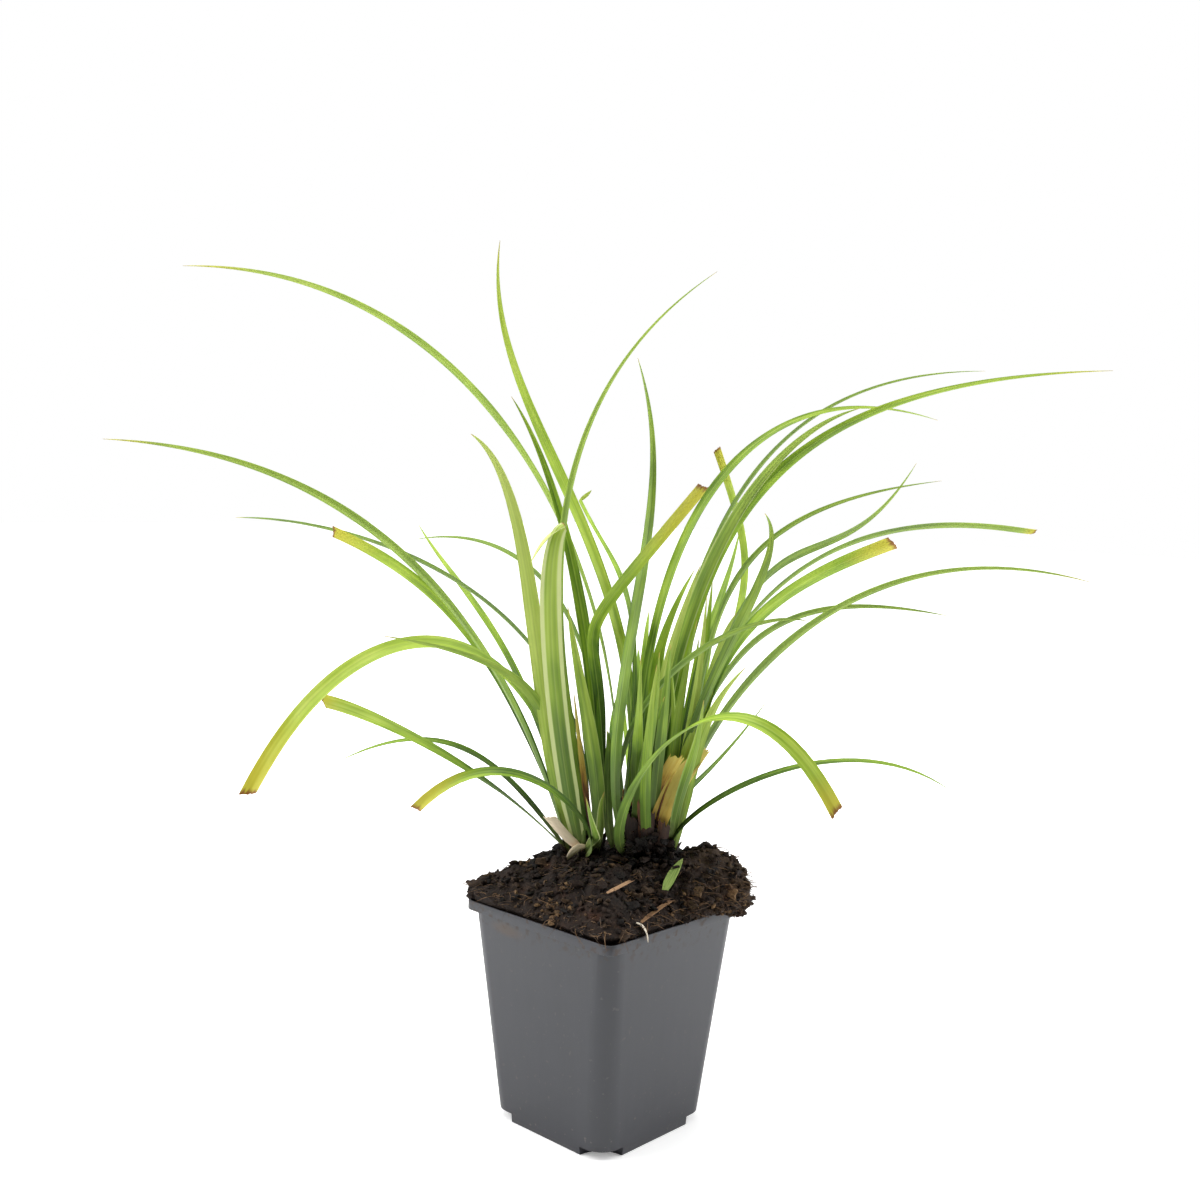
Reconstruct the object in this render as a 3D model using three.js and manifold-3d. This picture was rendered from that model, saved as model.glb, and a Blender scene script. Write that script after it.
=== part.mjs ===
// A carex sedge in its square nursery pot: a thin pot, a mound of soil that fills it, and a clump of
// tillers, each with its own foot in the soil and a spray of keeled, arching leaves.
// Millimetres, +Z up, origin in the middle of the pot's underside, pot faces along X and Y.
import * as THREE from "three";
import { mergeVertices } from "three/addons/utils/BufferGeometryUtils.js";
import Module from "manifold-3d";

const wasm = await Module();
wasm.setup();

// ---- Driving dimensions ----------------------------------------------------------------------

const GAP = 0.3; // between pieces that touch

// The pot: half sides, heights and corner radii.
const POT = {
  height: 100,
  lipHalf: 45,
  lipHeight: 4.4,
  lipCorner: 5,
  shoulder: 0.8, // rise of the inner wall past the lip's foot, before it widens
  flare: 2.4, // height over the lip's foot at which the inside is at its full width
  wallTopHalf: 43.4,
  wallFootHalf: 34.3,
  wallCorner: 10,
  wall: 1,
  floor: 1.2,
};
// Each corner of the base is stepped up and drained.
const STEP = { radius: 13, height: 4, drain: 3, inset: 9 };
const SIDE_DRAIN = { radius: 2.5, offset: 20 };
const ARC_STEPS = 5; // facets in a rounded corner
const ROUND = 32; // sides of a large round cut
const SMALL_ROUND = 16;
const PAST = 1; // how far a cut runs past what it cuts

// The soil over the rim: a mound on a rounded square.
const SOIL = {
  edgeHalf: 44.3,
  squareness: 12,
  edgeBottom: POT.height + GAP,
  edgeTop: 102.4,
  mound: 19.5,
  slope: 3,
  calmEdge: 0.25, // share of the mound over which the lumps die out
};
// Two of its corners bulge out: one full and steep, the other low with a raised brim.
const BULGES = [
  { towards: 45, spread: 8, reach: 7.5, slope: 6, lift: 6, brim: 0 },
  { towards: 225, spread: 16, reach: 2.5, slope: -0.4, lift: 0, brim: 4 },
];
const BRIM_POWER = 8;
// Lumps of the surface: the turns of a wave per millimetre along X and Y, its phase and its height.
const WAVES = [
  [0.23, 0.19, 1.3, 0.5],
  [0.23, -0.19, 0.9, 0.5],
  [0.51, 0.37, 2.1, 0.4],
  [-0.29, 0.43, 0, 0.4],
];
const MOUND_SHARES = [1, 0.97, 0.92, 0.85, 0.75, 0.63, 0.5, 0.36, 0.2, 0];
const MOUND_SPOKES = 48;
const CRUMBS = {
  count: 26,
  smallest: 1.3,
  largest: 2.6,
  nearest: 24,
  farthest: 41,
  sunk: 0.2, // of its size
  seed: 20,
};
// The crown sits in a slight hollow: its middle and half sizes in the clump's plan, and its level.
const HOLLOW = { middle: [6.5, 5], half: [38, 22], level: 120.5, steepness: 2 };
// Lumps that hang over the rim on the fuller side: x, y, z and size.
const SPILL = [
  [45.6, 45.6, 98.6, 2.4],
  [45.8, 45, 96, 1.9],
  [47.9, 40, 99, 2.2],
  [47.6, 33, 99.4, 1.9],
  [47.5, 12, 99.4, 1.8],
  [38, 47.9, 99.3, 2],
];

// The clump: its own X runs along the wide side of the spray, turned against the pot.
const CLUMP_TURN = 43.2;
const CROWN = 121; // height at which the leaves part from their foot
const FOOT = { radius: 2, topRadius: 0.9, depth: 17, neck: 16, sides: 6 };
const HOLE = { clearance: 2 * GAP, past: 6, sides: 8 };

// A blade: keeled section with the edges lifted into a shallow gutter.
const BLADE_SIDES = 4; // two edges, and a keel on each face
const KEEL = 1.2;
const TIP_THINNING = 0.5;
const GUTTER = 0.22; // lift of an edge, of the half width
const FOOT_WIDTH = 0.5; // of the full width
const OPENING = 2.2; // gain of width along the length
const TAPER_FROM = 0.55; // of the length
const TAPER = 0.7;
const TIP = 0.16; // of the full width
const STATION_SPACING = 17;
const FEWEST_STATIONS = 5;

const GREEN = 0x7fa63c;
const PALE_GREEN = 0xa9c25c;
const DEEP_GREEN = 0x55802c;

// A leaf, in the clump's own plan: heading, reach and rise of its tip from where it starts, steepness
// at the start and at the end, how long it holds each of those, sideways bow, full width, and how far
// the blade is turned round its midrib at the start and at the end.
function leaf(heading, reach, rise, start, end, hold, flow, bow, width, turnStart, turnEnd) {
  const cut = false;
  return { heading, reach, rise, start, end, hold, flow, bow, width, turnStart, turnEnd, cut };
}

// A leaf whose tip was cut off square.
function cutLeaf(...sizes) {
  return { ...leaf(...sizes), cut: true };
}

const TILLERS = [
  {
    name: "tiller_left_outer",
    foot: [-17.5, 5.8],
    colour: GREEN,
    leaves: [
      leaf(200, 104, 46, 53, -25, 1.1, 1.3, 0, 4.2, -40, -20),
      cutLeaf(209, 116, 75, 46, 11, 1.3, 0.3, -2, 5.5, 0, -80),
      leaf(170, 229, 181, 73, 1, 0.9, 1.3, -1, 5, 30, 90),
    ],
  },
  {
    name: "tiller_left_front",
    foot: [-10.5, -1],
    colour: PALE_GREEN,
    leaves: [
      cutLeaf(213, 83, 30, 75, -61, 0.3, 1.3, 27, 4.6, -40, -40),
      cutLeaf(255, 43, 150, 84, 150, 0.5, 0.3, -7, 9, 20, 20),
      leaf(348, 9, 30, 35, 70, 1.5, 1.2, 0, 4, -50, -60),
      leaf(271, 44, 37, 75, 94, 0.9, 1.4, 5, 4, -50, 0),
    ],
    extras: [
      { from: [-21.6, -42.5, 270], part: leaf(195, 14, -15, 5, -65, 1, 1, 0, 6, 0, 0) },
      { from: [-10.5, -2.5, 123.5], part: cutLeaf(195, 16, 16, 30, 50, 1, 1, 0, 6.5, 60, 60) },
      { from: [-10.5, -3, 125], part: leaf(200, 10, -2, 0, -30, 1, 1, 0, 7, 60, 60) },
    ],
  },
  {
    name: "tiller_left_middle",
    foot: [-11.5, 5.5],
    colour: PALE_GREEN,
    leaves: [
      leaf(222, 67, 186, 54, 25, 0.8, 0.7, -1, 7, 50, 50),
      leaf(211, 98, 102, 59, 10, 1.2, 2.1, 2, 5.5, 60, 60),
    ],
  },
  {
    name: "tiller_left_inner",
    foot: [-5, 2],
    colour: DEEP_GREEN,
    leaves: [
      leaf(159, 47, 205, 98, 53, 0.5, 0.9, 1, 5.5, -70, -70),
      cutLeaf(44, 64, 167, 84, 41, 2.2, 2.4, 1, 5.5, 80, 60),
      leaf(205, 13, 76, 78, 82, 1, 1, 0, 2.5, 60, 60),
      leaf(233, 25, 114, 94, 83, 0.7, 1.1, 4, 6.4, 40, 40),
    ],
  },
  {
    name: "tiller_left_back",
    foot: [-16, 10],
    colour: GREEN,
    leaves: [
      cutLeaf(159, 128, 140, 68, 19, 1.4, 1, 0, 5, 0, -80),
      leaf(132, 127, 143, 73, 40, 1.5, 0.8, 2, 4, 20, -30),
      cutLeaf(214, 153, 41, 87, -60, 1.3, 1.3, -8, 6.2, -50, -50),
    ],
  },
  {
    name: "tiller_left_far",
    foot: [-9.5, 12],
    colour: GREEN,
    leaves: [
      leaf(336, 54, 259, 30, 34, 0.3, 1.6, -16, 5, -30, -10),
      leaf(150, 220, 143, 96, -3, 1.2, 0.6, -1, 3.2, 60, 50),
      leaf(136, 130, 135, 103, -10, 1.1, 1.3, -2, 3.2, 60, 90),
      leaf(110, 64, 114, 96, 88, 0.7, 1.7, -2, 4.5, 0, 0),
    ],
  },
  {
    name: "tiller_centre_back",
    foot: [-3.5, 9],
    colour: DEEP_GREEN,
    leaves: [
      leaf(97, 62, 82, 83, 25, 1, 1, 0, 4.6, 20, 0),
      leaf(100, 13, 102, 96, 148, 0.9, 1.3, -2, 4.2, 20, 0),
      leaf(111, 32, 80, 85, 83, 0.9, 1.1, -1, 5, -20, -20),
    ],
  },
  {
    name: "tiller_centre",
    foot: [5, 4],
    colour: GREEN,
    leaves: [
      leaf(163, 228, 266, 92, 0, 1, 1.1, -3, 5, 10, 90),
      leaf(138, 86, 281, 106, 100, 1.4, 0.9, -1, 5.5, 0, -50),
      leaf(102, 111, 158, 105, 28, 1.9, 1.2, -5, 3.2, -80, -50),
      leaf(252, 21, 60, 50, 21, 0.9, 1.4, -4, 4.4, 20, 20),
    ],
    extras: [{ from: [-18.1, 112.6, 278.6], part: leaf(10, 5, 5, 40, 50, 1, 1, 0, 2.6, 90, 90) }],
  },
  {
    name: "tiller_right_of_centre",
    foot: [9.5, 9.5],
    colour: GREEN,
    leaves: [
      leaf(259, 12, 222, 30, 23, 2.1, 2.4, 0, 5.2, -20, 0),
      leaf(90, 55, 83, 81, 106, 1.7, 1.3, 7, 5, 20, 0),
      leaf(85, 40, 88, 74, 7, 0.8, 1.2, -2, 4.8, 10, 10),
    ],
  },
  {
    name: "tiller_right_front",
    foot: [12, 0],
    colour: GREEN,
    leaves: [
      cutLeaf(310, 117, 44, 43, -73, 0.3, 1.8, -32, 5.8, -10, 40),
      leaf(269, 60, 99, 90, 93, 1.8, 1.3, 0, 4.6, -20, -10),
      leaf(278, 49, 99, 84, 91, 1, 0.9, 0, 4.6, 0, 0),
      leaf(322, 84, 114, 102, -22, 1.1, 0.3, -21, 4.2, 30, -60),
      cutLeaf(340, 6, 38, 82, 74, 1, 1, -3, 3.5, 90, 90),
    ],
  },
  {
    name: "tiller_right_middle",
    foot: [16, 6],
    colour: GREEN,
    leaves: [
      leaf(22, 149, 202, 96, -13, 1.1, 1.2, 2, 4.5, 20, 50),
      leaf(65, 22, 98, 67, 56, 0.7, 1.7, -3, 5, 0, 0),
      leaf(88, 40, 107, 82, 29, 1, 1, 2, 4.8, 0, 0),
      leaf(54, 37, 128, 87, 44, 1.3, 1.2, 1, 5.6, 40, 40),
    ],
  },
  {
    name: "tiller_right_near",
    foot: [19.5, -2.5],
    colour: DEEP_GREEN,
    leaves: [
      leaf(274, 52, 103, 81, 52, 1, 1, 1, 5, 30, 0),
      leaf(273, 42, 80, 84, 37, 1.6, 1.3, -2, 4.4, -30, -30),
      cutLeaf(339, 20, 55, 80, 50, 1, 1, -4, 9, 90, 90),
      cutLeaf(325, 13, 48, 80, 62, 1, 1, -3, 7, 90, 90),
      leaf(268, 55, 95, 77, 93, 0.6, 1, -3, 4.6, 0, 0),
    ],
  },
  {
    name: "tiller_right_back",
    foot: [16, 13],
    colour: GREEN,
    leaves: [
      leaf(20, 173, 227, 83, 3, 1.3, 1.2, 3, 3.2, -70, -40),
      cutLeaf(44, 43, 185, 56, 117, 2.2, 1, -1, 4, -10, 20),
      leaf(75, 81, 105, 59, 20, 0.7, 1.5, -4, 4.6, -10, -10),
    ],
  },
  {
    name: "tiller_right_broad",
    foot: [23, 3],
    colour: PALE_GREEN,
    leaves: [
      leaf(329, 87, 201, 97, 14, 1, 0.7, 0, 5.5, -70, -70),
      leaf(298, 7, 87, 76, 92, 0.9, 1.1, 3, 4.2, 30, 0),
      leaf(293, 33, 134, 98, 62, 1, 1.1, -4, 5.2, -20, -20),
      leaf(312, 20, 109, 72, 74, 0.9, 1.4, 0, 5, -40, -40),
    ],
  },
  {
    name: "tiller_right_outer",
    foot: [29, -2],
    colour: GREEN,
    leaves: [
      leaf(339, 171, 134, 97, -13, 0.4, 1.3, -2, 4.8, -20, -50),
      leaf(343, 121, 42, 114, -35, 0.3, 0.9, -7, 3.8, 30, 30),
      leaf(277, 62, 82, 82, 70, 1, 1, 0, 4.6, 30, -20),
      leaf(303, 48, 93, 70, 37, 1.3, 1.3, 1, 4.6, -30, -30),
    ],
  },
  {
    name: "tiller_right_edge",
    foot: [30, 5],
    colour: GREEN,
    leaves: [
      leaf(304, 55, 157, 92, 145, 1.3, 0.6, -2, 5, 10, -40),
      cutLeaf(324, 101, 147, 78, 21, 1.3, 1.4, -1, 5.5, 40, 90),
      leaf(328, 19, 84, 90, 80, 0.9, 1.2, -1, 4.4, -10, -70),
      leaf(297, 22, 120, 83, 89, 0.9, 1.3, -1, 4.6, -30, -30),
      leaf(307, 37, 114, 74, 46, 1.1, 0.8, 2, 5.2, -40, -40),
    ],
  },
  {
    name: "tiller_right_long",
    foot: [23, 10],
    colour: GREEN,
    leaves: [
      leaf(1, 197, 224, 86, 3, 1.1, 1.6, 0, 5.2, 90, 50),
      cutLeaf(31, 236, 147, 79, -7, 1.4, 0.9, 6, 3.6, -60, -50),
      leaf(10, 136, 110, 76, -10, 1.4, 1.4, 1, 4, -30, -80),
    ],
  },
  {
    name: "tiller_right_far",
    foot: [29, 12],
    colour: GREEN,
    leaves: [
      leaf(66, 85, 146, 80, 55, 1.9, 0.9, -2, 4.2, -10, 10),
      leaf(23, 141, 173, 74, 7, 1.2, 1.8, 3, 3.6, -40, -100),
      leaf(38, 161, 182, 78, 50, 2.4, 1.3, 0, 4.5, -50, -100),
      leaf(50, 79, 63, 84, 39, 0.9, 2.3, 4, 2.8, 90, 70),
      leaf(74, 83, 88, 86, 72, 0.7, 1.3, 3, 4.6, -10, 0),
      leaf(77, 101, 114, 93, 97, 0.8, 1.5, 3, 3.6, -40, 10),
      leaf(68, 33, 95, 81, 72, 1, 1, 0, 5, 20, 20),
      leaf(65, 44, 122, 71, 61, 0.7, 1, -4, 4.8, 20, 20),
    ],
  },
  {
    name: "tiller_far_middle",
    foot: [9.5, 16],
    colour: DEEP_GREEN,
    leaves: [
      leaf(85, 85, 87, 58, 57, 0.3, 2.4, -4, 4.6, -20, 0),
      leaf(92, 95, 70, 100, 89, 1, 2.1, -5, 4.2, -30, -10),
    ],
  },
];

// What lies on the soil.
const LITTER = [
  {
    name: "litter_straw",
    from: [0.5, -42.3, 116.4],
    colour: 0xb08f73,
    part: cutLeaf(44, 14.6, 2.5, 10, 10, 1, 1, 0, 2.4, 0, 0),
  },
  {
    name: "litter_leaf_scrap",
    from: [25.2, -28.7, 112],
    colour: 0x7f9a4a,
    part: leaf(61, 17.9, 11, 40, 22, 1, 1, 0, 4.6, 0, 0),
  },
  {
    name: "litter_brown_straw",
    from: [15, -47.1, 105.6],
    colour: 0x8a6a48,
    part: cutLeaf(54, 23.4, 4, 14, 4, 1, 1, 0, 2.2, 0, 0),
  },
  {
    name: "short_root",
    from: [13, -48, 105.8],
    colour: 0xd8cfc0,
    part: leaf(348, 5.2, -8, -10, -85, 1, 1, 0, 2, 0, 0),
  },
];

// ---- Solids ----------------------------------------------------------------------------------

const WELD = 1e-4;
const SMOOTHING = 0.01; // edges shorter than this are folded into their neighbours

// A closed geometry as a solid that can be joined and cut.
function solidOf(geometry) {
  const bare = geometry.clone();
  bare.deleteAttribute("normal");
  bare.deleteAttribute("uv");
  const welded = mergeVertices(bare, WELD);
  const corners = welded.index.array;
  const kept = [];
  for (let i = 0; i < corners.length; i += 3) {
    const [a, b, c] = corners.slice(i, i + 3);
    if (a !== b && b !== c && c !== a) kept.push(a, b, c);
  }
  return new wasm.Manifold(
    new wasm.Mesh({
      numProp: 3,
      vertProperties: welded.attributes.position.array,
      triVerts: new Uint32Array(kept),
    }),
  );
}

// A solid as a named mesh.
function meshOf(name, solid, material) {
  const made = solid.simplify(SMOOTHING).getMesh();
  const geometry = new THREE.BufferGeometry();
  geometry.setAttribute("position", new THREE.BufferAttribute(made.vertProperties, 3));
  geometry.setIndex(new THREE.BufferAttribute(made.triVerts, 1));
  const mesh = new THREE.Mesh(geometry, material);
  mesh.name = name;
  return mesh;
}

// An upright round or many-sided pin between two heights.
function pin(x, y, low, high, radius, sides, topRadius = radius) {
  const geometry = new THREE.CylinderGeometry(topRadius, radius, high - low, sides);
  geometry.rotateX(Math.PI / 2);
  geometry.translate(x, y, (low + high) / 2);
  return solidOf(geometry);
}

const radians = THREE.MathUtils.degToRad;

function leafMaterial(colour) {
  return new THREE.MeshStandardMaterial({ color: colour, roughness: 0.5, metalness: 0 });
}

function potMaterial() {
  return new THREE.MeshStandardMaterial({ color: 0x4a4b4f, roughness: 0.55, metalness: 0 });
}

function soilMaterial() {
  return new THREE.MeshStandardMaterial({ color: 0x31241a, roughness: 0.95, metalness: 0 });
}

// ---- Square bodies ---------------------------------------------------------------------------

// A body of rings round the axis, from the middle of its underside round the outside to the middle
// of its top: place gives the point of a ring on a spoke.
function ringBody(rings, spokes, place) {
  const profile = Array.from({ length: rings }, (_, ring) => new THREE.Vector2(1, ring));
  const geometry = new THREE.LatheGeometry(profile, spokes);
  const position = geometry.attributes.position;
  for (let v = 0; v < position.count; v++) {
    position.setXYZ(v, ...place(v % rings, Math.floor(v / rings) % spokes));
  }
  return solidOf(geometry);
}

// A body of rounded-square outline: each level is [half side, height, corner radius].
function squareBody(levels) {
  const perCorner = ARC_STEPS + 1;
  return ringBody(levels.length, 4 * perCorner, (ring, spoke) => {
    const [half, height, corner] = levels[ring];
    const quarter = Math.floor(spoke / perCorner);
    const angle = radians(90 * quarter + (90 * (spoke % perCorner)) / ARC_STEPS);
    const middle = radians(90 * quarter + 45);
    const reach = Math.SQRT2 * (half - corner);
    return [
      reach * Math.cos(middle) + corner * Math.cos(angle),
      reach * Math.sin(middle) + corner * Math.sin(angle),
      height,
    ];
  });
}

const lipFoot = POT.height - POT.lipHeight;
const innerCorner = POT.wallCorner - POT.wall;
const innerLipHalf = POT.lipHalf - POT.wall;
const innerLipCorner = POT.lipCorner - POT.wall;

// Half side of the wall's inner face at a height.
function innerHalf(height) {
  const share = height / lipFoot;
  return THREE.MathUtils.lerp(POT.wallFootHalf, POT.wallTopHalf, share) - POT.wall;
}

// The four places of a feature that repeats round the square.
function quarters(make) {
  return [0, 90, 180, 270].map((turn) => make(radians(turn)));
}

function cornerPins(distance, low, high, radius, sides) {
  return quarters((turn) => {
    const x = Math.SQRT2 * distance * Math.cos(turn + Math.PI / 4);
    const y = Math.SQRT2 * distance * Math.sin(turn + Math.PI / 4);
    return pin(x, y, low, high, radius, sides);
  });
}

function pot() {
  const outside = squareBody([
    [0, 0, 0],
    [POT.wallFootHalf, 0, POT.wallCorner],
    [POT.wallTopHalf, lipFoot, POT.wallCorner],
    [POT.lipHalf, lipFoot, POT.lipCorner],
    [POT.lipHalf, POT.height, POT.lipCorner],
    [0, POT.height, 0],
  ]);
  let hollow = squareBody([
    [0, POT.floor, 0],
    [innerHalf(POT.floor), POT.floor, innerCorner],
    [innerHalf(lipFoot + POT.shoulder), lipFoot + POT.shoulder, innerCorner],
    [innerLipHalf, lipFoot + POT.flare, innerLipCorner],
    [innerLipHalf, POT.height + PAST, innerLipCorner],
    [0, POT.height + PAST, 0],
  ]);
  const shelfTop = STEP.height + POT.floor;
  const shelves = cornerPins(POT.wallFootHalf, -PAST, shelfTop, STEP.radius + POT.floor, ROUND);
  shelves.forEach((shelf) => {
    hollow = hollow.subtract(shelf);
  });
  const steps = cornerPins(POT.wallFootHalf, -PAST, STEP.height, STEP.radius, ROUND);
  const drainAt = POT.wallFootHalf - STEP.inset;
  const drains = cornerPins(drainAt, -PAST, shelfTop + PAST, STEP.drain, SMALL_ROUND);
  const sideDrains = quarters((turn) => {
    const x = SIDE_DRAIN.offset * Math.cos(turn);
    const y = SIDE_DRAIN.offset * Math.sin(turn);
    return pin(x, y, -PAST, POT.floor + PAST, SIDE_DRAIN.radius, SMALL_ROUND);
  });
  let body = outside.subtract(hollow);
  [...steps, ...drains, ...sideDrains].forEach((cut) => {
    body = body.subtract(cut);
  });
  return meshOf("pot", body, potMaterial());
}

// ---- Frames ------------------------------------------------------------------------------------

function turned([x, y], angle) {
  const turn = radians(angle);
  return [x * Math.cos(turn) - y * Math.sin(turn), x * Math.sin(turn) + y * Math.cos(turn)];
}

// A point of the clump's own plan in the pot's frame, and the other way round.
const onPot = (point) => turned(point, CLUMP_TURN);
const onClump = (point) => turned(point, -CLUMP_TURN);

// ---- Soil ------------------------------------------------------------------------------------

// Small numbers that look random and are the same each time.
function seededDraw(seed) {
  let state = seed;
  return () => {
    state = (state * 16807) % 2147483647;
    return state / 2147483647;
  };
}

function lumps(x, y) {
  return WAVES.reduce((sum, [u, v, phase, high]) => sum + high * Math.sin(u * x + v * y + phase), 0);
}

// How strongly a bulge acts in the direction of a point, from 0 to 1.
function pull(bulge, x, y) {
  const away = Math.atan2(y, x) - radians(bulge.towards);
  return Math.max(0, Math.cos(away)) ** bulge.spread;
}

// Distance from the axis to the soil's edge in the direction of a point.
function edgeReach(x, y) {
  const power = SOIL.squareness;
  const far = Math.hypot(x, y);
  const side = ((Math.abs(x) / far) ** power + (Math.abs(y) / far) ** power) ** (-1 / power);
  return BULGES.reduce((sum, bulge) => sum + bulge.reach * pull(bulge, x, y), SOIL.edgeHalf * side);
}

// Height of the soil's surface over a point of the pot.
function soilTop(x, y) {
  const share = x || y ? Math.min(1, Math.hypot(x, y) / edgeReach(x, y)) : 0;
  let slope = SOIL.slope;
  let rise = SOIL.mound;
  let edge = SOIL.edgeTop;
  BULGES.forEach((bulge) => {
    slope += bulge.slope * pull(bulge, x, y);
    rise += bulge.lift * pull(bulge, x, y) * share;
    edge += bulge.brim * pull(bulge, x, y) * share ** BRIM_POWER;
  });
  const calm = Math.min(1, (1 - share) / SOIL.calmEdge);
  const open = edge + rise * (1 - share ** slope) + calm * lumps(x, y);
  const [across, away] = onClump([x, y]).map((at, i) => (at - HOLLOW.middle[i]) / HOLLOW.half[i]);
  const inside = HOLLOW.steepness * (1 - across ** 2 - away ** 2);
  return THREE.MathUtils.lerp(open, HOLLOW.level, THREE.MathUtils.clamp(inside, 0, 1));
}

function mound() {
  const rings = MOUND_SHARES.length + 2;
  return ringBody(rings, MOUND_SPOKES, (ring, spoke) => {
    const angle = radians((360 * spoke) / MOUND_SPOKES);
    const share = ring === 0 ? 0 : MOUND_SHARES[Math.max(0, ring - 2)];
    const reach = share * edgeReach(Math.cos(angle), Math.sin(angle));
    const x = reach * Math.cos(angle);
    const y = reach * Math.sin(angle);
    return [x, y, ring < 2 ? SOIL.edgeBottom : soilTop(x, y)];
  });
}

function lump(x, y, z, size) {
  const geometry = new THREE.IcosahedronGeometry(size, 0);
  geometry.rotateZ(x + y);
  geometry.translate(x, y, z);
  return solidOf(geometry);
}

function crumbs() {
  const draw = seededDraw(CRUMBS.seed);
  const made = SPILL.map((row) => lump(...row));
  for (let i = 0; i < CRUMBS.count; i++) {
    const angle = 2 * Math.PI * draw();
    const away = THREE.MathUtils.lerp(CRUMBS.nearest, CRUMBS.farthest, draw());
    const size = THREE.MathUtils.lerp(CRUMBS.smallest, CRUMBS.largest, draw() ** 2);
    const x = away * Math.cos(angle);
    const y = away * Math.sin(angle);
    made.push(lump(x, y, soilTop(x, y) - CRUMBS.sunk * size, size));
  }
  return made;
}

function soil(feet) {
  const half = (height) => innerHalf(height) - GAP;
  const block = squareBody([
    [0, POT.floor + GAP, 0],
    [half(POT.floor), POT.floor + GAP, innerCorner - GAP],
    [half(lipFoot), lipFoot, innerCorner - GAP],
    [half(lipFoot), SOIL.edgeTop, innerCorner - GAP],
    [0, SOIL.edgeTop, 0],
  ]);
  let body = block.add(mound());
  crumbs().forEach((crumb) => {
    body = body.add(crumb);
  });
  const shelfTop = STEP.height + POT.floor + GAP;
  const shelfRadius = STEP.radius + POT.floor + GAP;
  cornerPins(POT.wallFootHalf, -PAST, shelfTop, shelfRadius, ROUND).forEach((shelf) => {
    body = body.subtract(shelf);
  });
  const holeFoot = CROWN - FOOT.depth - GAP;
  feet.forEach(([x, y]) => {
    const hole = pin(x, y, holeFoot, CROWN + HOLE.past, FOOT.radius + HOLE.clearance, HOLE.sides);
    body = body.subtract(hole);
  });
  return meshOf("soil", body, soilMaterial());
}

// ---- Leaves ----------------------------------------------------------------------------------

// The midrib: it leaves its start at one steepness, reaches the tip at another, and bows sideways.
class Midrib extends THREE.Curve {
  constructor([x, y, z], { heading, reach, rise, start, end, hold, flow, bow }) {
    super();
    const turn = radians(heading + CLUMP_TURN);
    this.from = new THREE.Vector3(...onPot([x, y]), z);
    this.out = new THREE.Vector3(Math.cos(turn), Math.sin(turn), 0);
    this.side = new THREE.Vector3(-Math.sin(turn), Math.cos(turn), 0);
    this.bow = bow;
    const pull = Math.hypot(reach, rise) / Math.cos(radians(start - end) / 4) ** 2;
    this.tip = new THREE.Vector2(reach, rise);
    const towards = (angle) => new THREE.Vector2(Math.cos(radians(angle)), Math.sin(radians(angle)));
    this.leaving = towards(start).multiplyScalar(pull * hold);
    this.arriving = towards(end).multiplyScalar(pull * flow);
  }

  getPoint(t, target = new THREE.Vector3()) {
    const run = new THREE.Vector2();
    run.addScaledVector(this.leaving, t ** 3 - 2 * t ** 2 + t);
    run.addScaledVector(this.tip, 3 * t ** 2 - 2 * t ** 3);
    run.addScaledVector(this.arriving, t ** 3 - t ** 2);
    target.copy(this.from);
    target.addScaledVector(this.out, run.x);
    target.addScaledVector(this.side, 4 * t * (1 - t) * this.bow);
    target.z += run.y;
    return target;
  }
}

// Share of the full width at a share of the length.
function widthShare(t, cut) {
  const opening = Math.min(1, FOOT_WIDTH + OPENING * t);
  const closing = Math.min(1, (1 - t) / (1 - TAPER_FROM));
  return cut ? opening : opening * Math.max(TIP, closing ** TAPER);
}

// A blade along its midrib: a four-sided tube with an edge on each side and a keel above and below.
function blade(from, leafShape) {
  const { width, turnStart, turnEnd, cut } = leafShape;
  const midrib = new Midrib(from, leafShape);
  const stations = Math.max(FEWEST_STATIONS, Math.round(midrib.getLength() / STATION_SPACING));
  const geometry = new THREE.CylinderGeometry(1, 1, 1, BLADE_SIDES, stations);
  const position = geometry.attributes.position;
  const normal = new THREE.Vector3();
  const across = new THREE.Vector3();
  const face = new THREE.Vector3();
  const point = new THREE.Vector3();
  for (let v = 0; v < position.count; v++) {
    const t = THREE.MathUtils.clamp(position.getY(v) + 0.5, 0, 1);
    const sideways = position.getX(v);
    const tangent = midrib.getTangent(t);
    normal.crossVectors(tangent, midrib.side).normalize();
    across.crossVectors(tangent, normal);
    across.applyAxisAngle(tangent, radians(THREE.MathUtils.lerp(turnStart, turnEnd, t)));
    face.crossVectors(across, tangent);
    const half = (width / 2) * widthShare(t, cut);
    const thick = (KEEL / 2) * (1 - TIP_THINNING * t ** 4);
    midrib.getPoint(t, point);
    point.addScaledVector(across, sideways * half);
    point.addScaledVector(face, position.getZ(v) * thick + GUTTER * half * Math.abs(sideways));
    position.setXYZ(v, point.x, point.y, point.z);
  }
  return solidOf(geometry);
}

function tiller({ name, foot, colour, leaves, extras = [] }) {
  const [x, y] = onPot(foot);
  const low = CROWN - FOOT.depth;
  const high = CROWN + FOOT.neck;
  let body = pin(x, y, low, high, FOOT.radius, FOOT.sides, FOOT.topRadius);
  leaves.forEach((grown) => {
    body = body.add(blade([...foot, CROWN], grown));
  });
  extras.forEach(({ from, part }) => {
    body = body.add(blade(from, part));
  });
  return meshOf(name, body, leafMaterial(colour));
}

function litter({ name, from, colour, part }) {
  return meshOf(name, blade(from, part), leafMaterial(colour));
}

// ---- The plant in its pot --------------------------------------------------------------------

const sedge = new THREE.Group();
sedge.add(pot());
sedge.add(soil(TILLERS.map(({ foot }) => onPot(foot))));
TILLERS.forEach((spec) => sedge.add(tiller(spec)));
LITTER.forEach((spec) => sedge.add(litter(spec)));

export default sedge;
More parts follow.
